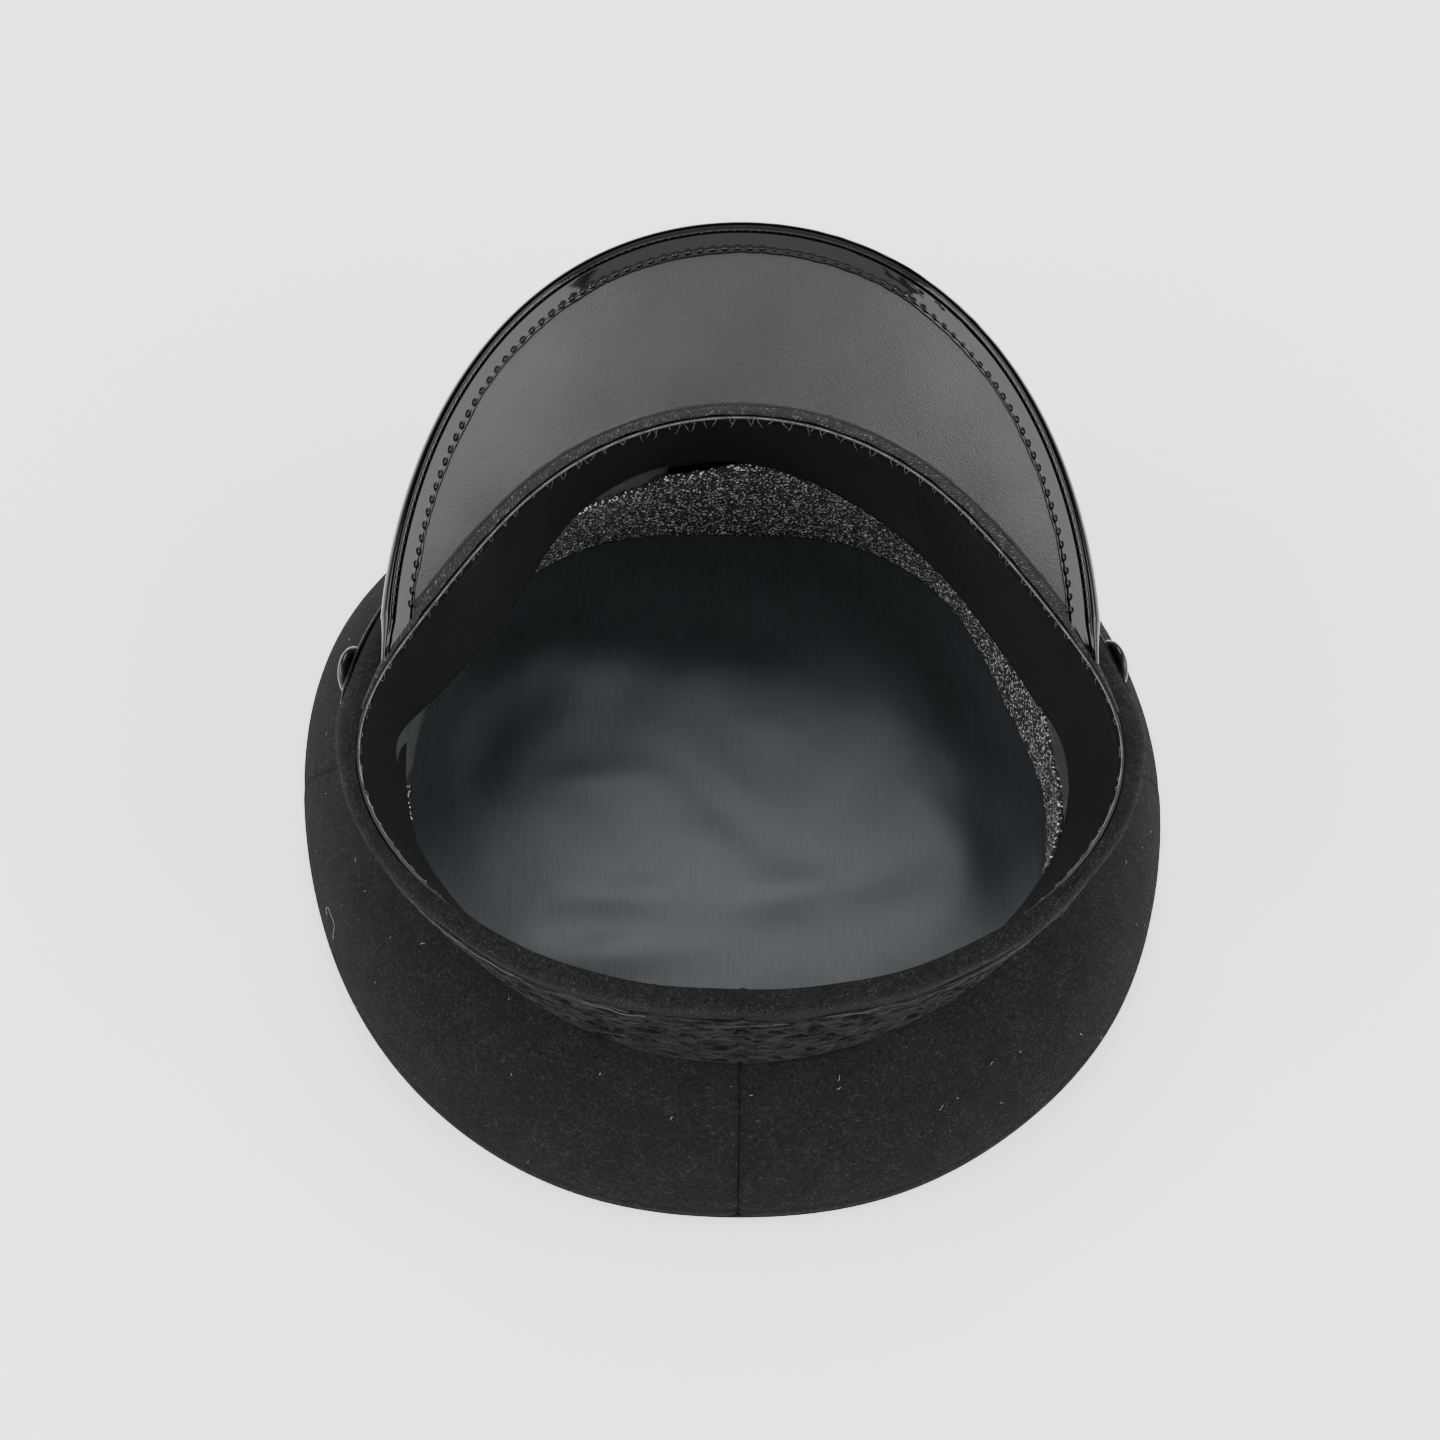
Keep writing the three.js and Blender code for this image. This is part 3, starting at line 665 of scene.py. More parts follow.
def make_tip():
    """The crown's tip: flat, then turned up to the edge seam on a cubic Bezier curve."""
    angle = np.linspace(0, 360, 240, endpoint=False)[:, None]
    t = np.linspace(0, 1, 24)[None, :]
    weights = ((1 - t) ** 3, 3 * t * (1 - t) ** 2, 3 * t * t * (1 - t), t**3)
    inset = sum(w * p for w, p in zip(weights, (TIP_TURN, 8, 0.4, 0.4)))
    rise = sum(w * p for w, p in zip(weights, (0, 0, 3.2, TIP_RIM_RISE)))
    flat = np.linspace(0, 1, 8, endpoint=False)[None, :]
    radius = np.concatenate([(edge(angle) - TIP_TURN) * flat, edge(angle) - inset, edge(angle) - 1.4], 1)
    height = np.concatenate([0 * flat, rise, [[8.2]]], 1) + 0.02
    points = at(angle, radius, np.broadcast_to(height, radius.shape))
    surface("cloth_tip", points, WOOL, ["crown_tip"], closed=True, facing=downwards, wall=CROWN_WALL,
            weld=True)


make_tip()


# Band

ROLL_UNDER_PEAK = 4.9
ROLL_OVER_FOLD = 1.4
FOLD_SINK = 2.5
BAND_SEAM_GROOVE = 0.6
BAND_SKIN = 1.7


def roll_top(angle):
    """Height of the roll's top: just over the rim, and lower by ROLL_UNDER_PEAK where the peak is sewn on."""
    under_peak = smooth_step((100 - np.abs(from_front(angle))) / 14)
    return rim_height(angle) + 0.4 - ROLL_UNDER_PEAK * under_peak


def roll_drop(angle):
    """Height of the roll, from its widest line to its top: 2.5 mm and a share of its overhang."""
    return 2.5 + 0.3 * (band_out(angle) - rim(angle))


def fold_drop(angle):
    """How far the sweatband's fold sits below the rim: at the back the wool rolls over it."""
    return FOLD_SINK * smooth_step((np.abs(from_front(angle)) - 124) / 22)


def roll_start(angle):
    """Radius where the roll meets the sweatband, and at the back covers its fold."""
    span = rim_height(angle) - join_height(angle)
    low = (rim_height(angle) - roll_top(angle) + BAND_WALL) / span
    high = (rim_height(angle) - roll_top(angle)) / span
    lines = [mix(rim(angle), join(angle), t) for t in (low, high)]
    over_fold = ROLL_OVER_FOLD * smooth_step((np.abs(from_front(angle)) - 120) / 20)
    return np.maximum(*lines) + SWEATBAND_WALL + 0.1 - over_fold


def band_face(angle, height):
    """Radius of the band's outer face at a height, on a straight line from the join to the roll."""
    shoulder = roll_top(angle) - roll_drop(angle)
    low = join_height(angle)
    t = np.clip((height - low) / (shoulder - low), 0, 1)
    return mix(join(angle) + BAND_OUT_AT_JOIN, band_out(angle), t)


def band_roll(angle, turn):
    """Radius and height on the roll: a quarter of an ellipse from the band's face (90) to the rim (0)."""
    start, top, drop = roll_start(angle), roll_top(angle), roll_drop(angle)
    turn = np.radians(turn)
    return start + (band_out(angle) - start) * np.sin(turn), top - drop * (1 - np.cos(turn))


def make_band():
    """The wool band: a leaning wall, its roll over the rim, and a tuck down beside the sweatband.

    Its lower edge goes on 4 mm behind the quarters, as a seam allowance does.
    """
    angle = np.linspace(0, 360, 480, endpoint=False)[:, None]
    t = np.linspace(-0.12, 1, 18, endpoint=False)[None, :]
    shoulder = roll_top(angle) - roll_drop(angle)
    wall_z = mix(join_height(angle), shoulder, t)
    wall_r = mix(join(angle) + BAND_OUT_AT_JOIN, band_out(angle), t)
    roll_r, roll_z = band_roll(angle, np.linspace(90, 0, 20)[None, :])
    tuck = np.linspace(0.3, 1.6, 3)[None, :] * (1 + 0.3 * fold_drop(angle))
    tuck_r = roll_start(angle) - 0.1 * np.minimum(tuck, 1.6)
    tuck_z = roll_top(angle) - tuck
    radius = np.concatenate([wall_r, roll_r, tuck_r], 1)
    height = np.concatenate([wall_z, roll_z, tuck_z], 1)
    soft = 0.25 * waves(angle * 1.8, height, 34, 8)
    seam = BAND_SEAM_GROOVE * np.exp(-((from_front(angle - 180) * 1.6 / 0.6) ** 2))
    fade = np.concatenate([np.ones((1, 36)), np.linspace(0.9, 0.1, 5)[None, :]], 1)
    points = at(angle, radius + (soft - seam) * fade, height - seam * (1 - fade) * 0.5)
    surface("cloth_band", points, WOOL, ["band"], closed=True, facing=outwards, wall=BAND_SKIN)


make_band()


LEAF_PERIOD = 16.0
GROUND_THREAD_PITCH = 1.1
BRAID_RADIUS = 98.0
BRAID_SKIN = 0.6


def braid_relief(along, across):
    """Height of the braid's woven pattern from 0 to 1, along and across in millimetres.

    Leaf pairs repeat every LEAF_PERIOD: each leaf is a lens between two arcs with ribs across it,
    between corded edges; threads one GROUND_THREAD_PITCH apart run along the ground.
    """
    middle = (across / BRAID_WIDTH - 0.5) * 2
    leaf = 0
    for side in (-1, 1):
        s = np.mod(along + side * LEAF_PERIOD / 4, LEAF_PERIOD) / LEAF_PERIOD * 2 - 1
        spine = side * (0.38 + 0.12 * np.sin(np.pi * s))
        width = 0.34 * (1 - s * s)
        inside = np.clip((width - np.abs(middle - spine)) / 0.09, 0, 1)
        ribs = 0.72 + 0.28 * np.cos((along * 1.2 + np.abs(middle - spine) * 14) * 2.3)
        leaf = np.maximum(leaf, inside * ribs)
    cord = np.exp(-(((np.abs(middle) - 0.93) / 0.05) ** 2))
    ground = 0.2 + 0.16 * np.cos(across * 2 * np.pi / GROUND_THREAD_PITCH)
    return np.maximum(np.maximum(leaf, 0.85 * cord), ground)


def make_braid():
    """The braid: a wall on the band, its face raised by the woven pattern, its ends meeting at the back."""
    angle = np.linspace(0.0, 360, 900, endpoint=False)[:, None]
    t = np.linspace(0, 1, 36)[None, :]
    height = join_height(angle) + 0.5 + BRAID_WIDTH * t
    along = np.radians(angle) * BRAID_RADIUS
    height = height + 0.25 * waves(along, 0 * height, 30, 5)
    rough = grain(height.shape, (420, 26), 11, closed=True)
    slub = grain(height.shape, (130, 20), 12, closed=True)
    slit = smooth_step((slub - 0.2) / 0.3)
    pattern = braid_relief(along + 0 * t, BRAID_WIDTH * t + 0 * angle)
    raised = 0.7 + 0.5 * pattern + 0.2 * rough - 1.0 * slit
    meet = 1 - 0.8 * np.exp(-((from_front(angle - 180) * 1.6 / 0.9) ** 2))
    ends = smooth_step(np.minimum(t, 1 - t) / 0.09)
    radius = band_face(angle, height) + 0.1 + raised * meet * ends
    surface("woven_braid", at(angle, radius, height), BRAID, ["braid"], closed=True, facing=outwards,
            wall=BRAID_SKIN)


make_braid()


# Inside: sweatband, stiffener, foam and lining

FOLD_RADIUS = 0.62
SWEATBAND_BACK = 1.05


def sweat_radius(angle, t):
    """Inner face of the sweatband, straight from the rim to its free edge, t in shares of rim to join."""
    return mix(rim(angle), free(angle), t / SWEATBAND_REACH)


def head_height(angle, t):
    """Height inside the head, straight from the rim at t = 0 to the join at t = 1."""
    return mix(rim_height(angle), join_height(angle), t)


def make_sweatband():
    """A band with a full round fold at the rim, its back returned, and a thin free edge below."""
    angle = np.linspace(0, 360, 540, endpoint=False)[:, None]
    start = fold_drop(angle) / (rim_height(angle) - join_height(angle))
    t = mix(SWEATBAND_REACH, start, np.linspace(0, 1, 28)[None, :])
    bow = 0.7 * np.sin(np.pi * t / SWEATBAND_REACH) * waves(angle * 1.5, t * 30, 48, 21)
    face_r = sweat_radius(angle, t) + bow
    face_z = head_height(angle, t)
    turn = np.radians(np.linspace(-60, 200, 10))[None, :]
    fold_r = sweat_radius(angle, start) + FOLD_RADIUS * (1 - np.cos(turn))
    fold_z = head_height(angle, start) - 0.2 + FOLD_RADIUS * np.sin(np.clip(turn, -0.6, 3.3))
    back_t = mix(start + 0.03, SWEATBAND_REACH, np.linspace(0, 1, 20)[None, :])
    back_r = sweat_radius(angle, back_t) + SWEATBAND_BACK
    back_z = head_height(angle, back_t)
    radius = np.concatenate([face_r[:, :-2], fold_r, back_r], 1)
    height = np.concatenate([face_z[:, :-2], fold_z, back_z], 1)
    loft("leatherette_sweatband", at(angle, radius, height), SWEAT_SKIN, ["sweatband"],
         closed=True)


make_sweatband()

# Lower edge of the stiffener as (angle, height): it shows in slivers under the sweatband, and not where
# it is cut away.
STIFFENER_LOW = [
    (-180, 55), (-124, 52), (-112, 34), (-72, 32), (-60, 50), (-30, 44), (-12.4, 46), (-12.2, 64),
    (7.9, 64), (8.1, 50), (25.0, 44), (25.2, 58), (60, 56), (68, 26), (95.2, 26), (95.4, 33), (112, 36),
    (124, 52), (180, 55),
]
# Upper edge of the foam strip as (angle, height).
FOAM_TOP = [
    (-180, 46.5), (-122, 44), (-108, 29), (-84, 27), (-72, 29), (-60, 42), (-30, 47), (-17, 48),
    (-13.2, 53), (-12.6, 52), (-9, 51.5), (-4, 53.6), (-1.6, 55.5), (5.5, 56), (10, 53), (15, 47.5),
    (30, 46.5), (60, 43), (72, 35), (78, 29), (84, 28), (88, 32), (95, 36), (106, 42), (120, 46.5),
    (180, 46.5),
]
FOAM_FOOT = 3.4
FOAM_SKIN = 1.6
STIFFENER_SKIN = 0.7


def make_stiffener():
    """A smooth strip that stands behind the sweatband down to its cut lower edge."""
    angle = np.linspace(0, 360, 960, endpoint=False)[:, None]
    low = through(angle, STIFFENER_LOW)
    high = head_height(angle, 0.24)
    height = mix(high, low, np.linspace(0, 1, 12)[None, :])
    t = (rim_height(angle) - height) / (rim_height(angle) - join_height(angle))
    line = mix(rim(angle), join(angle), np.minimum(t, 1))
    hung = mix(rim(angle), free(angle), np.minimum(t / SWEATBAND_REACH, 1))
    radius = np.maximum(line, mix(hung, line, 0.5)) + SWEATBAND_WALL + 0.4
    surface("stiffener_strip", at(angle, radius, height), STIFFENER, ["band_stiffener"],
            closed=True, facing=inwards, wall=STIFFENER_SKIN)


make_stiffener()


def make_foam():
    """The foam strip: a wall with a torn top, its inner face roughened cell by cell."""
    count = 1000
    angle = np.linspace(0, 360, count, endpoint=False)[:, None]
    t = np.linspace(0, 1, 28)[None, :]
    torn = 0.9 * grain((count, 1), (330, 1), 31, closed=True)
    torn = torn + 0.7 * grain((count, 1), (90, 1), 32, closed=True)
    top = through(angle, FOAM_TOP) + torn
    height = mix(FOAM_FOOT, top, t)
    out_left = 1.0 * np.exp(-(((from_front(angle) + 88) / 22) ** 2))
    radius = mix(foot(angle), join(angle) + 0.2, (height - 3.8) / 42.7) + out_left
    rough = 0.2 * grain(height.shape, (800, 27), 33, closed=True)
    rough = rough + 0.15 * grain(height.shape, (300, 14), 34, closed=True)
    points = at(angle, radius + rough, height)
    piece = surface("foam_strip", points, FOAM, ["foam_ring"], closed=True, facing=inwards,
                    wall=FOAM_SKIN)


make_foam()

# Folds of the lining: middle, heading of the ridge, half length, half width, height.
LINING_FOLDS = [
    (-50, 40, -4, 42, 13, 4.6), (-3, -3, -42, 38, 12, -2.6), (-44, -3, 5, 20, 8, 1.6),
    (50, 26, -50, 42, 18, 3.6), (-34, -40, 2, 24, 7, 1.4), (-34, -58, 3, 24, 7, 1.3),
    (62, -22, -60, 28, 11, 2.4), (10, 18, -15, 34, 20, 2.6), (-76, 12, 80, 16, 9, -2.4),
    (18, -38, 12, 30, 8, 1.2),
]
LINING_LIE = 3.3
LINING_LEAST = 2.4
LINING_SKIN = 0.6


def lining_height(x, y):
    """Flat lie plus soft ridges, each a bell curve along and across its heading, calmed towards the wall.

    Hollows level out softly at LINING_LEAST, where the satin touches the tip.
    """
    radius = np.hypot(x, y - POLE_Y)
    angle = np.degrees(np.arctan2(x, y - POLE_Y))
    calm = smooth_step((foot(angle) - 3 - radius) / 22)
    rise = 0
    for fx, fy, heading, length, width, height in LINING_FOLDS:
        c, s = np.cos(np.radians(heading)), np.sin(np.radians(heading))
        along = ((x - fx) * c + (y - fy) * s) / length
        across = ((y - fy) * c - (x - fx) * s) / width
        rise = rise + height * np.exp(-along * along - across * across)
    free_lie = LINING_LIE + calm * (1.0 + rise + 0.25 * waves(x, y, 26, 41)) - LINING_LEAST
    return LINING_LEAST + (free_lie + np.sqrt(free_lie**2 + 0.16)) / 2


def make_lining():
    """A disc of satin over the tip, out under the foam strip."""
    angle = np.linspace(0, 360, 180, endpoint=False)[:, None]
    t = np.linspace(0, 1, 62)[None, :]
    reach = edge(angle) - TIP_TURN - 2
    flat = at(angle, reach * t, 0)
    height = lining_height(flat[..., 0], flat[..., 1])
    points = np.stack([flat[..., 0], flat[..., 1], height], -1)
    piece = surface("satin_lining", points, SATIN, ["lining"], closed=True, facing=upwards,
                    wall=LINING_SKIN, weld=True)


make_lining()


# Peak

PEAK_START = 1.9
PEAK_START_DROP = 0.6
PEAK_SETBACK = 1.6
PEAK_BOW = 2.0
PEAK_BOW_SPAN = 50.0


def peak_frame(angle, s, h):
    """Points of the peak at a distance s from the seam, as a share of its reach, and a height h over it.

    The peak runs straight from seam to edge, bowed down by PEAK_BOW for each PEAK_BOW_SPAN of reach.
    """
    start_r, start_z = rim(angle) + PEAK_START, rim_height(angle) - PEAK_START_DROP
    held = np.clip(angle, -80, 80)
    along_r = peak_reach(held) - PEAK_SETBACK - rim(held) - PEAK_START
    along_z = peak_lift(held) - rim_height(held) + PEAK_START_DROP
    length = np.hypot(along_r, along_z)
    along_r, along_z = along_r / length, along_z / length
    inside = np.clip(s / length, 0, 1)
    rise = h - PEAK_BOW * (length / PEAK_BOW_SPAN) * 4 * inside * (1 - inside)
    return at(angle, start_r + along_r * s - along_z * rise, start_z + along_z * s + along_r * rise)


def peak_length(angle):
    """The peak's reach from its seam to its edge, along its slope."""
    reach = peak_reach(angle) - PEAK_SETBACK - rim(angle) - PEAK_START
    return np.hypot(reach, peak_lift(angle) - rim_height(angle) + PEAK_START_DROP)


BOARD_TOP = -0.6
BOARD_EDGE_RADIUS = 0.9
FACING_START = 2.9
FACING_LIFT = 0.45
FACING_SKIN_WALL = 0.6


def make_board():
    """The peak's board with its patent skin: a closed wall, 2 mm thick, with a rounded edge."""
    angle = np.linspace(-PEAK_TIP_ANGLE, PEAK_TIP_ANGLE, 180)[:, None]
    length = peak_length(angle)
    t = np.linspace(0, 1, 40)[None, :]
    top = peak_frame(angle, length * t, BOARD_TOP)
    round_edge = np.radians(np.linspace(60, -60, 5))[None, :]
    edge_s = length + BOARD_EDGE_RADIUS * np.cos(round_edge) - 0.4
    edge_h = BOARD_TOP - PEAK_BOARD_WALL / 2 + BOARD_EDGE_RADIUS * np.sin(round_edge)
    edge_turn = peak_frame(angle, edge_s, edge_h)
    bottom = peak_frame(angle, length * t[:, ::-1], BOARD_TOP - PEAK_BOARD_WALL)
    loft("patent_peak", np.concatenate([top, edge_turn, bottom], 1), PATENT, ["peak_board"])


make_board()


def make_facing():
    """The grey underside of the peak with faint waves, out under the binding."""
    angle = np.linspace(-79.0, 79.0, 200)[:, None]
    t = np.linspace(0, 1, 40)[None, :]
    length = peak_length(angle)
    s = mix(FACING_START, np.maximum(length - 1.5, 3.2), t)
    lift = FACING_LIFT + 0.12 * waves(angle * 1.7, s, 30, 51)
    surface("leatherette_facing", peak_frame(angle, s, lift), FACING_SKIN,
            ["peak_facing"], facing=upwards, wall=FACING_SKIN_WALL)


make_facing()


BINDING_WIDTH = 6.3
BINDING_BULGE = 2.4
BINDING_TURN_IN = 4.5
HOLE_DEPTH = 0.5
HOLE_HALF_LENGTH = 0.6
HOLE_HALF_WIDTH = 0.55
WRINKLE_AT = 24.0
WRINKLE_SPREAD = 12.0
STITCH_INSET = 4.9
STITCH_PITCH = 3.45
OUTER_STITCH_PITCH = 2.3


def binding_length(angle):
    """The peak's reach from its seam, kept above 0.3 mm where its tips run out to points."""
    held = np.clip(angle, -80, 80)
    return np.maximum(peak_length(held) * np.clip((87 - np.abs(angle)) / 7, 0, 1), 0.3)


def spaced(start, end, pitch, radius):
    """Angles between two angles, one pitch in millimetres apart on a radius from the pole."""
    angles = np.linspace(start, end, 4001)
    line = np.cumsum(np.concatenate([[0], np.radians(np.diff(angles)) * radius(angles[1:])]))
    return np.interp(np.arange(pitch / 2, line[-1], pitch), line, angles)


INNER_STITCHES = spaced(-77, 77, STITCH_PITCH, lambda a: peak_reach(a) - 6)


def tight_stitches(angle):
    """1 where the inner stitches are drawn in to small points, at the right of the peak's front."""
    return smooth_step((angle - 1) / 4) * smooth_step((40 - angle) / 6)


def make_binding():
    """The patent strip folded round the edge.

    Its section is a flat underside with a hole at each inner stitch, a narrow stitched groove, a
    full round bead and an outer side. It wrinkles at the right of the peak's front.
    """
    count = 780
    angle = np.linspace(-86.5, 86.5, count)[:, None]
    length = binding_length(angle)
    share = np.clip(length / 6.0, 0.1, 1) * mix(0.3, 1, smooth_step((87 - np.abs(angle)) / 8))
    uneven = 0.2 * grain((count, 1), (38, 1), 61) + 0.12 * grain((count, 1), (120, 1), 62)
    fold = np.maximum(length - BINDING_WIDTH + uneven * share, 0.3)
    under = np.linspace(0, 1, 28)[None, :]
    inset = (1 - under) * (length - fold)
    gap = np.min(np.abs(angle - INNER_STITCHES), 1, keepdims=True)
    gap = np.radians(gap) * peak_reach(angle)
    hole = np.exp(-((gap / HOLE_HALF_LENGTH) ** 2) - ((inset - STITCH_INSET) / HOLE_HALF_WIDTH) ** 2)
    hole = hole * (1 - 0.7 * tight_stitches(angle))
    line = 0.08 * np.exp(-(((inset - STITCH_INSET) / 0.3) ** 2))
    groove = 0.6 * np.exp(-((inset / 0.4) ** 2))
    start = smooth_step(under / 0.08)
    wrinkle = np.exp(-(((angle - WRINKLE_AT) / WRINKLE_SPREAD) ** 2))
    pull = (0.02 + 0.14 * wrinkle) * grain((count, 28), (110, 6), 63) * np.exp(-((inset / 3.0) ** 2))
    rise = 0.4 * start - 0.1 + (-HOLE_DEPTH * hole - line - groove) * share + pull
    upper = peak_frame(angle, mix(fold, length, under), PEAK_FACING_WALL + rise)
    turn = np.radians(np.linspace(100, -80, 17))[None, :]
    crack = 0.12 * grain((count, 17), (110, 5), 64) * wrinkle
    top = PEAK_FACING_WALL + 0.55 * share
    low = mix(-1.0, BOARD_TOP - PEAK_BOARD_WALL - 0.5, share)
    bulge = BINDING_BULGE / 2 * (1 + np.cos(turn)) + crack
    rounded = peak_frame(
        angle, length + bulge * mix(0.3, 1, share), (top + low) / 2 + (top - low) / 2 * np.sin(turn)
    )
    over = np.linspace(0, 1, 5)[None, :]
    far = np.maximum(length - BINDING_TURN_IN, 0.2)
    lower = peak_frame(angle, mix(length, far, over), low - 0.1 * np.sin(np.pi * over))
    inner_low = peak_frame(angle, mix(far, length - 0.1, over), low + 0.35)
    inner_top = peak_frame(angle, mix(length - 0.1, fold, over), PEAK_FACING_WALL - 0.05)
    section = np.concatenate([upper, rounded, lower, inner_low, inner_top], 1)
    loft("patent_binding", section, PATENT, ["peak_binding"])


make_binding()


def stitch_row(name, angles, long_mm, inset, lift, radius_mm):
    """A row of stitches on the binding: each a short arch along it, inset from the edge, its ends sunk."""
    t = np.linspace(-0.5, 0.5, 7)[None, :]
    size = 1 - 0.5 * tight_stitches(angles[:, None])
    turn = angles[:, None] + np.degrees(long_mm * size * t / peak_reach(angles[:, None]))
    s = np.maximum(peak_length(turn) - inset, 2.8)
    arch = lift - 2.4 * radius_mm * (2 * np.abs(t)) ** 2
    paths = peak_frame(turn, s, arch)
    normals = np.broadcast_to([0.0, -0.3, 0.95], (len(angles), 3))
    shape = radius_mm * np.array([0.5, 0.85, 1, 1, 1, 0.85, 0.5]) * size
    tubes(name, paths, normals, shape, BLACK_THREAD, sides=8)


def make_peak_stitches():
    """Two rows through the binding: full round stitches in its inner holes, and small ones by the bead."""
    stitch_row("stitches_binding_inner", INNER_STITCHES, 1.15, STITCH_INSET, 1.1, 0.34)
    outer = spaced(-78, 78, OUTER_STITCH_PITCH, lambda a: peak_reach(a) - 1)
    stitch_row("stitches_binding_outer", outer, 1.0, 0.0, 0.95, 0.18)


make_peak_stitches()


HEAD_RADIUS = 85.0
TAPE_END = 95.0
TAPE_WIDTH = 3.3
TAPE_HALF_HEIGHT = 0.62
TAPE_GAP = 1.25
KNIT_PITCH = 1.5
SEAM_THREAD_AND_SHADE_RADIUS = 0.34
FOLD_HIGHLIGHT_END = 126.0
RIM_STITCH_PITCH = 5.2
RIM_STITCH_RADIUS = 0.09
LEVEL_NORMAL = np.array([[0.0, 0.0, 1.0]])


def make_tape():
    """The knitted tape over the seam: a rounded strip that narrows to its ends, and a dark seam thread that
    is also painted shadow of the gap between tape and facing.
    """
    angle = np.linspace(-TAPE_END, TAPE_END, 900)[:, None]
    round_head = np.radians(angle) * HEAD_RADIUS
    narrow = smooth_step((TAPE_END - np.abs(angle)) / 22)
    width = TAPE_WIDTH * mix(0.25, 1, narrow)
    turn = np.linspace(0, 2 * np.pi, 20, endpoint=False)[None, :]
    knit = 1 + 0.04 * np.sin(round_head * 2 * np.pi / KNIT_PITCH + 2.2 * np.cos(turn))
    uneven = 0.18 * waves(round_head, 0 * turn, 9, 71)
    centre_r = rim(angle) + TAPE_GAP + width / 2 + uneven * narrow
    centre_z = rim_height(angle) + mix(-0.3, 0.72, narrow) + 0.08 * waves(round_head, 0 * turn, 14, 72)
    radius = centre_r + width / 2 * np.cos(turn) * (0.9 + 0.1 * knit)
    height = centre_z + TAPE_HALF_HEIGHT * np.sin(turn) * knit
    loft("knitted_rim_tape", at(angle, radius, height), TAPE, ["rim_tape"])
    # The tape's sewn edge: a real seam thread, made thick and near black as painted shadow of the gap by the
    # facing.
    path = peak_frame(np.linspace(-78, 78, 600), FACING_START + 0.25, 0.5)
    sewn = SEAM_THREAD_AND_SHADE_RADIUS * (1 + 0.3 * grain((600, 1), (170, 1), 73)[:, 0])
    tubes("tape_sewn_edge_and_painted_shadow", path[None], LEVEL_NORMAL, sewn, SEAM_THREAD_AND_SHADE, sides=6)


make_tape()


def make_fold_highlight_crest():
    """A painted highlight along the crest of the sweatband's fold: a fine pale uneven line that thins to its
    ends.
    """
    angle = np.linspace(-FOLD_HIGHLIGHT_END, FOLD_HIGHLIGHT_END, 900)
    radius = sweat_radius(angle, 0) + 0.3
    height = rim_height(angle) - fold_drop(angle) + 0.34
    size = 0.13 + 0.07 * waves(np.radians(angle) * HEAD_RADIUS, 0 * angle, 6, 84)
    size = size * mix(0.3, 1, smooth_step((FOLD_HIGHLIGHT_END - np.abs(angle)) / 22))
    path = at(angle, radius, height)[None]
    tubes("painted_highlight_fold_crest", path, LEVEL_NORMAL, size, FOLD_HIGHLIGHT_SKIN, sides=5)


make_fold_highlight_crest()


def make_rim_stitches():
    """Zigzag stitches of the sweatband: pairs of short threads from its fold down its inner face.

    They are longer and wider apart near the front, and no two are alike.
    """
    angles = spaced(-180, 180, RIM_STITCH_PITCH, rim)
    t = np.linspace(0, 1, 7)[None, :]
    rng = np.random.default_rng(81)
    angles = angles + rng.uniform(-0.8, 0.8, len(angles))
    paths = []
    for lean in (-1.0, 1.0):
        near_front = np.exp(-((angles / 40) ** 2))[:, None]
        reach = 2.2 + 1.6 * near_front + rng.uniform(-1.9, 0.9, (len(angles), 1))
        wide = 0.8 + 0.7 * near_front + rng.uniform(-0.6, 0.6, (len(angles), 1))
        swing = np.degrees(lean * wide / rim(angles)[:, None])
        turn = angles[:, None] + swing * (1 - t) + rng.uniform(-0.6, 0.6, (len(angles), 1))
        drop = reach * t - 0.3
        radius = sweat_radius(turn, 0) + 0.6 * np.exp(-((t / 0.18) ** 2)) - 0.22 + 0.25 * t**6
        top = rim_height(turn) - fold_drop(turn)
        paths.append(at(turn, radius + 0.04 * drop, top + 0.55 * np.exp(-t * 5) - drop))
    paths = np.concatenate(paths)
    normals = inwards(paths[:, 3].copy())
    shape = RIM_STITCH_RADIUS * np.array([0.9, 1, 1, 0.9, 0.8, 0.6, 0.3])
    tubes("stitches_sweatband", paths, normals, shape, GREY_THREAD, sides=5)


make_rim_stitches()


# Strap and buttons

STRAP_LIFT = 1.0
STRAP_WALL = 1.6


def make_strap():
    """The patent strap: a flat section with round edges, on the band under the peak."""
    angle = np.linspace(-90, 90, 300)[:, None]
    turn = np.linspace(0, 2 * np.pi, 28, endpoint=False)[None, :]
    side = np.sign(np.cos(turn)) * np.abs(np.cos(turn)) ** 0.35
    depth = np.sign(np.sin(turn)) * np.abs(np.sin(turn)) ** 0.7
    height = STRAP_HEIGHT + STRAP_WIDTH / 2 * side
    radius = band_face(angle, height) + STRAP_LIFT + STRAP_WALL / 2 * (1 + depth)
    loft("patent_strap", at(angle, radius, height), PATENT, ["chin_strap"])


make_strap()


BUTTON_RIGHT_AT = 80.5
BUTTON_LEFT_AT = -82.5
# Radius and height of a turned button from its back to the middle of its dome.
BUTTON_PROFILE = np.array([
    (0.0, 0.0), (5.6, 0.0), (6.6, 0.15), (7.1, 0.6), (7.2, 1.2), (7.0, 1.8), (6.5, 2.3), (6.0, 2.45),
    (5.6, 2.3), (5.35, 2.2), (5.1, 2.4), (4.7, 2.95), (3.9, 3.5), (2.8, 4.0), (1.4, 4.35), (0.0, 4.45),
])


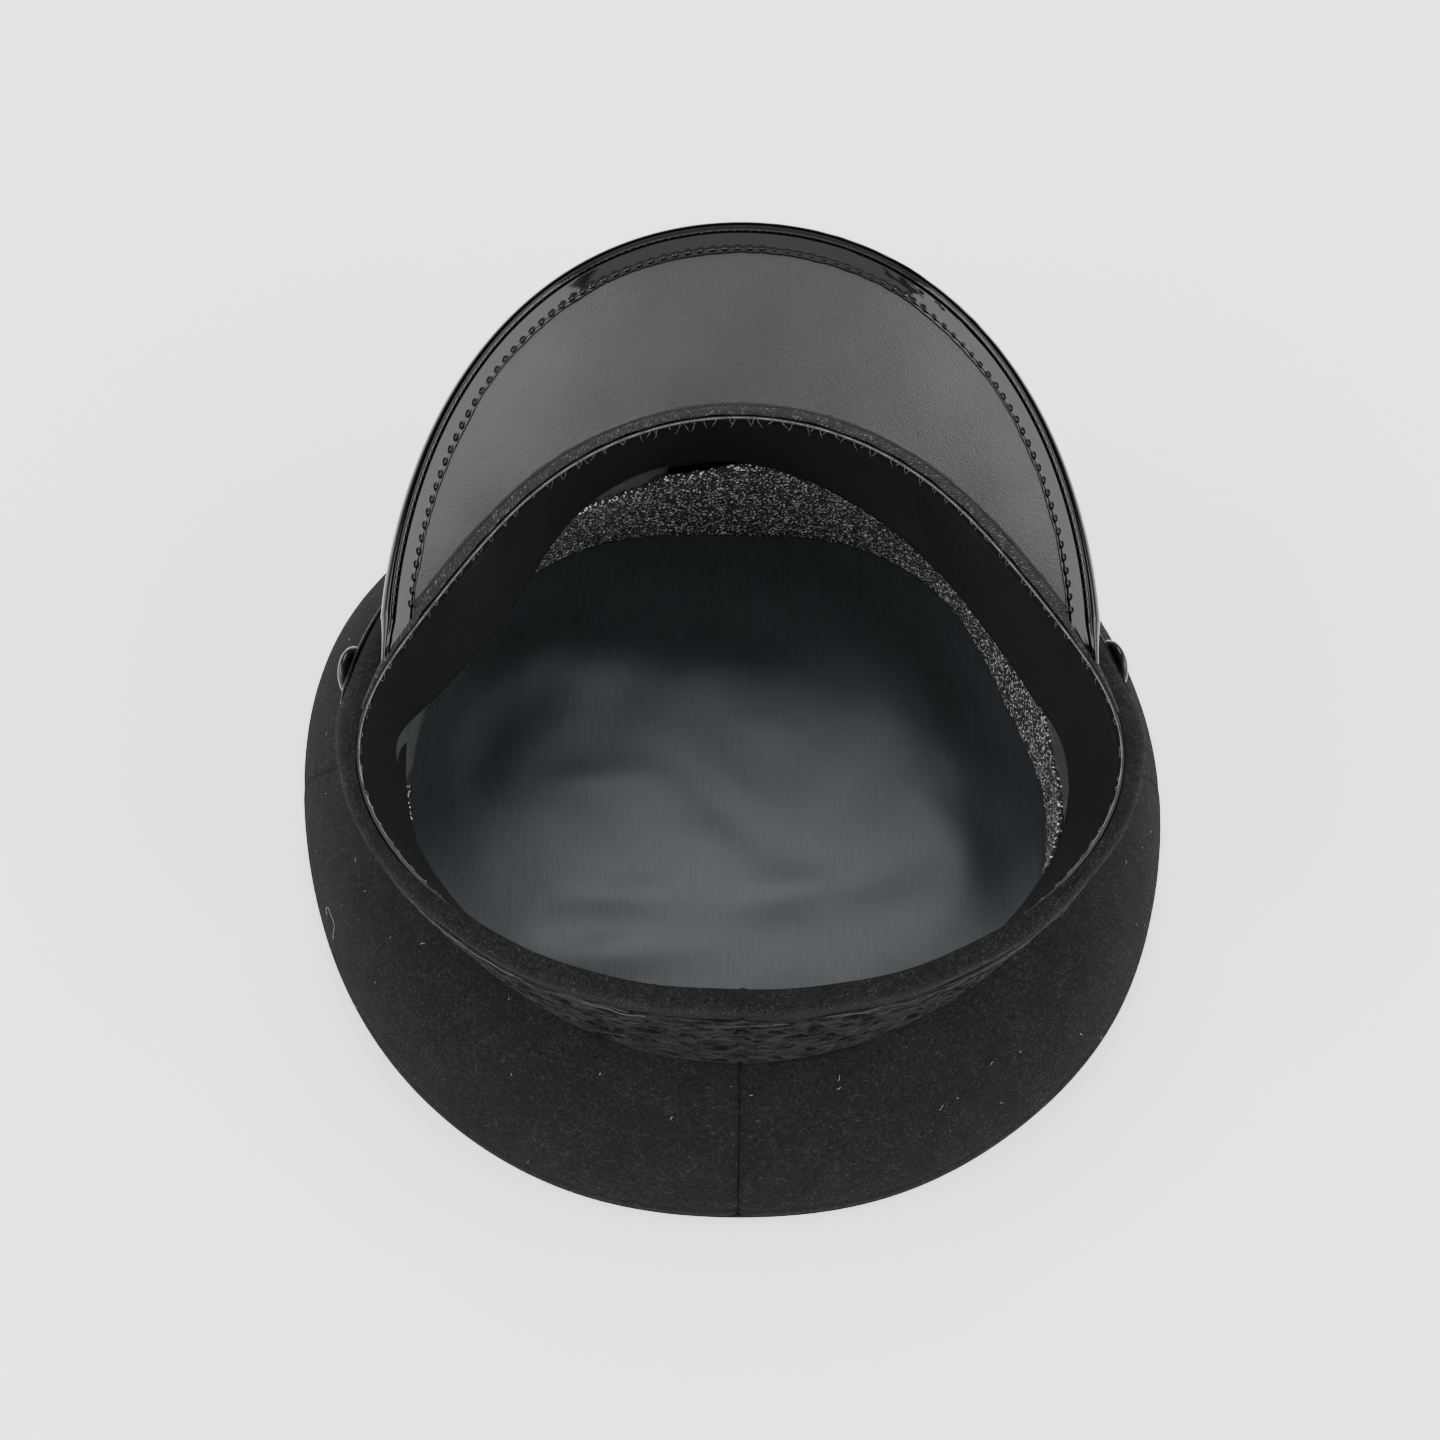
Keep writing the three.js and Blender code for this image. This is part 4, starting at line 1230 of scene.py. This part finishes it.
def make_button(name, node):
    """A turned button: a domed middle in a groove and a rounded rim, about the line of its CAD solid."""
    low, high = (np.array(v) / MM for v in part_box(node))
    middle = (low + high) / 2
    angle = np.degrees(np.arctan2(middle[0], middle[1] - POLE_Y))
    side = BUTTON_RIGHT_AT if angle > 0 else BUTTON_LEFT_AT

    def on_band(turn, height):
        """A point of the band's face."""
        return at(turn, band_face(turn, height), height)

    def from_middle(points):
        """Away from the middle of the button."""
        return points - middle

    foot_r = band_face(side, STRAP_HEIGHT) + STRAP_LIFT + STRAP_WALL + 0.7
    across = on_band(side + 3, STRAP_HEIGHT) - on_band(side - 3, STRAP_HEIGHT)
    up = on_band(side, STRAP_HEIGHT + 3) - on_band(side, STRAP_HEIGHT - 3)
    across, up = across / np.linalg.norm(across), up / np.linalg.norm(up)
    out = np.cross(up, across)
    turn = np.radians(np.linspace(0, 360, 64, endpoint=False))[:, None, None]
    radius, rise = BUTTON_PROFILE[None, :, :1], BUTTON_PROFILE[None, :, 1:]
    ring = np.cos(turn) * across + np.sin(turn) * up
    points = at(side, foot_r, STRAP_HEIGHT) + radius * ring + rise * out
    surface(name, points, BUTTON_PLASTIC, [node], closed=True, facing=from_middle, weld=True)


make_button("polished_button_right", "button_right")
make_button("polished_button_left", "button_left")


# Loose fibres of the wool

NAP_COUNT = 3000
LINT_COUNT = 54
BAND_NAP_COUNT = 2600
LOOSE_THREAD_COUNT = 34
FIBRE_TAPER = np.array([0.8, 1, 1, 0.8, 0.3])


def scatter(rng, count, angles, low, high):
    """Seeded places on the crown's outer face."""
    return rng.uniform(*angles, count), rng.uniform(low, high, count)


def fibre_paths(rng, roots, normals, length, stand, curl):
    """Short curved hairs: each leaves its root along a random line on the surface and lifts a little."""
    count = len(roots)
    way = rng.normal(size=(count, 3))
    way -= np.sum(way * normals, 1, keepdims=True) * normals
    way /= np.linalg.norm(way, axis=1, keepdims=True)
    side = np.cross(normals, way)
    t = np.linspace(0, 1, 5)[None, :, None]
    size = rng.uniform(*length, (count, 1, 1))
    bend = rng.normal(0, curl, (count, 1, 1))
    lift = rng.uniform(0, stand, (count, 1, 1))
    return (roots[:, None] + size * (t * way[:, None] + bend * t * t * side[:, None])
            + (0.05 + lift * np.sin(np.pi * t * 0.8)) * normals[:, None])


def crown_normals(angle, v):
    """Outward directions on the crown from small steps along and round it."""
    a = crown_surface(angle + 0.2, v) - crown_surface(angle - 0.2, v)
    b = crown_surface(angle, v + 0.01) - crown_surface(angle, v - 0.01)
    normal = np.cross(b, a)
    normal /= np.linalg.norm(normal, axis=1, keepdims=True)
    flip = np.sign(np.sum(normal * outwards(crown_surface(angle, v)), 1, keepdims=True))
    return normal * flip


def make_fibres():
    """The brushed nap: grey fibres on the crown and the roll's open part, and a few pale bits of lint."""
    rng = np.random.default_rng(91)
    angle, v = scatter(rng, NAP_COUNT, (0, 360), 0.0, 0.98)
    roots, normals = crown_surface(angle, v), crown_normals(angle, v)
    paths = fibre_paths(rng, roots, normals, (0.5, 1.6), 0.5, 0.5)
    tubes("wool_nap_crown", paths, normals, 0.03 * FIBRE_TAPER, LINT, sides=3)
    angle, v = scatter(rng, LINT_COUNT, (0, 360), 0.02, 0.95)
    roots, normals = crown_surface(angle, v), crown_normals(angle, v)
    paths = fibre_paths(rng, roots, normals, (0.3, 1.3), 0.4, 0.5)
    tubes("pale_lint_crown", paths, normals, 0.045 * FIBRE_TAPER, PALE_LINT, sides=4)
    angle = rng.uniform(0, 360, BAND_NAP_COUNT)
    turn = rng.uniform(5, 88, BAND_NAP_COUNT)
    behind = np.abs(from_front(angle)) > 84
    angle, turn = angle[behind], turn[behind]
    roots = at(angle, *band_roll(angle, turn))
    normals = outwards(roots.copy()) / 100
    normals[:, 2] = np.cos(np.radians(turn)) * 1.2
    normals /= np.linalg.norm(normals, axis=1, keepdims=True)
    paths = fibre_paths(rng, roots, normals, (0.4, 1.2), 0.5, 0.5)
    tubes("wool_nap_band", paths, normals, 0.028 * FIBRE_TAPER, LINT, sides=3)


make_fibres()


def wandering(start, heading, length_mm, curl, rng, steps=40):
    """A hair's way over the crown in angle and v: its heading turns by a smoothed random curl."""
    turns = np.convolve(rng.normal(0, curl, steps + 6), np.ones(7) / 7, "valid")
    course = np.radians(heading) + np.cumsum(turns)
    step = length_mm / steps
    angle = start[0] + np.degrees(np.cumsum(step * np.cos(course)) / edge(start[0]))
    return angle, start[1] + np.cumsum(step * np.sin(course)) / CROWN_SLOPE


# Angle, height share, heading, length in millimetres, curl and material of each hair.
HAIRS = [
    (-106.0, 0.17, 25, 15, 0.55, PALE_LINT), (-100.0, 0.3, 100, 14, 0.12, LINT),
    (-72.0, 0.5, 60, 12, 0.2, LINT), (150.0, 0.5, 200, 9, 0.3, LINT), (196.0, 0.3, 40, 8, 0.25, LINT),
    (-140.0, 0.6, 10, 10, 0.3, LINT),
]


def make_hairs():
    """A few long hairs that lie on the crown, one pale and curly, and loose threads at the braid's top."""
    rng = np.random.default_rng(93)
    for number, (angle, v, heading, length_mm, curl, material) in enumerate(HAIRS):
        way, climb = wandering((angle, v), heading, length_mm, curl, rng)
        lift = 0.25 + 0.2 * np.sin(np.linspace(0, 9, len(way)))
        path = crown_surface(way, np.clip(climb, 0.01, 0.97), lift)
        normal = crown_normals(np.array([angle]), np.array([v]))
        tubes("stray_hair_%d" % number, path[None], normal, 0.035, material, sides=4)
    starts = rng.uniform(105, 255, LOOSE_THREAD_COUNT)[:, None]
    span = rng.uniform(2, 12, (LOOSE_THREAD_COUNT, 1))
    turn = starts + span * np.linspace(0, 1, 24)[None, :]
    height = join_height(turn) + BRAID_WIDTH + rng.uniform(-2.0, 1.6, (LOOSE_THREAD_COUNT, 1))
    height = height + 0.4 * waves(turn * 1.6, starts, 16, 94)
    radius = band_face(turn, height) + 0.75 + 0.2 * waves(turn * 1.6, starts, 7, 95)
    paths = at(turn, radius, height)
    normals = outwards(paths[:, 12].copy()) / 100
    tubes("loose_braid_threads", paths, normals, 0.06, GREY_FIBRE, sides=4)


make_hairs()


# Floor and light

def make_floor():
    """A plain pale floor, under the tip."""
    half = 6.0
    corners = [(-half, -half, 0), (half, -half, 0), (half, half, 0), (-half, half, 0)]
    mesh = bpy.data.meshes.new("floor")
    mesh.from_pydata(corners, [], [(0, 1, 2, 3)])
    floor = bpy.data.objects.new("floor", mesh)
    paper = shader(
        "floor_paper_matt", Base_Color=colour("#f4f4f2"), Roughness=0.9, Emission_Color=colour("#ffffff"),
        Emission_Strength=1.0,
    )
    mesh.materials.append(paper[0])
    bpy.context.scene.collection.objects.link(floor)


make_floor()


def area_light(name, place, width, height, power):
    """An oblong soft box that looks at the middle of the cap."""
    light = bpy.data.lights.new(name, "AREA")
    light.shape = "RECTANGLE"
    light.size, light.size_y = width, height
    light.energy = power
    holder = bpy.data.objects.new(name, light)
    holder.location = place
    holder.rotation_euler = (Vector((0, 0, 0.05)) - Vector(place)).to_track_quat("-Z", "Y").to_euler()
    bpy.context.scene.collection.objects.link(holder)
    return holder


def flag_off(light, pieces):
    """Keeps a soft box off some pieces, as a black card beside it would."""
    shaded = bpy.data.collections.new("shaded_from_" + light.name)
    light.light_linking.receiver_collection = shaded
    for piece in pieces:
        shaded.objects.link(piece)
    for link in shaded.collection_objects:
        link.light_linking.link_state = "EXCLUDE"


front = area_light("soft_box_front", (0.0, 0.75, 1.2), 0.9, 0.8, 15.5)
flag_off(front, [bpy.data.objects["patent_binding"], bpy.data.objects["patent_peak"]])
area_light("soft_box_back", (0.0, -0.95, 1.15), 1.7, 0.9, 10.5)
area_light("soft_box_left", (-1.1, -0.3, 0.85), 1.25, 0.9, 25)
area_light("soft_box_right", (1.1, -0.3, 0.85), 1.25, 0.9, 25)


def make_surroundings():
    """White studio walls, darker overhead and above the front, by the direction's height and y."""
    world = bpy.data.worlds.new("studio_walls")
    bpy.context.scene.world = world
    world.use_nodes = True
    tree = world.node_tree
    way = add(tree, "TexCoord").outputs["Generated"]
    way = add(tree, "SeparateXYZ", {"Vector": way})
    height = way.outputs["Z"]
    tones = [(0.0, "#ffffff"), (0.3, "#e0e0e0"), (0.52, "#808080"), (0.78, "#202020")]
    tone = add(tree, "ValToRGB", {"Fac": height}, tones).outputs["Color"]
    ahead = add(tree, "MapRange", {"Value": way.outputs["Y"], 1: 0.1, 2: 0.6, 3: 0.0, 4: 0.85})
    aloft = add(tree, "MapRange", {"Value": height, 1: 0.1, 2: 0.25, 3: 0.0, 4: 1.0})
    both = add(tree, "Math", {0: ahead.outputs[0], 1: aloft.outputs[0]}, operation="MULTIPLY")
    left = add(tree, "Math", {0: 1.0, 1: both.outputs[0]}, operation="SUBTRACT")
    tone = add(tree, "VectorMath", {0: tone, 3: left.outputs[0]}, operation="SCALE").outputs[0]
    tree.links.new(tone, tree.nodes["Background"].inputs["Color"])
    tree.nodes["Background"].inputs["Strength"].default_value = 1.5


make_surroundings()
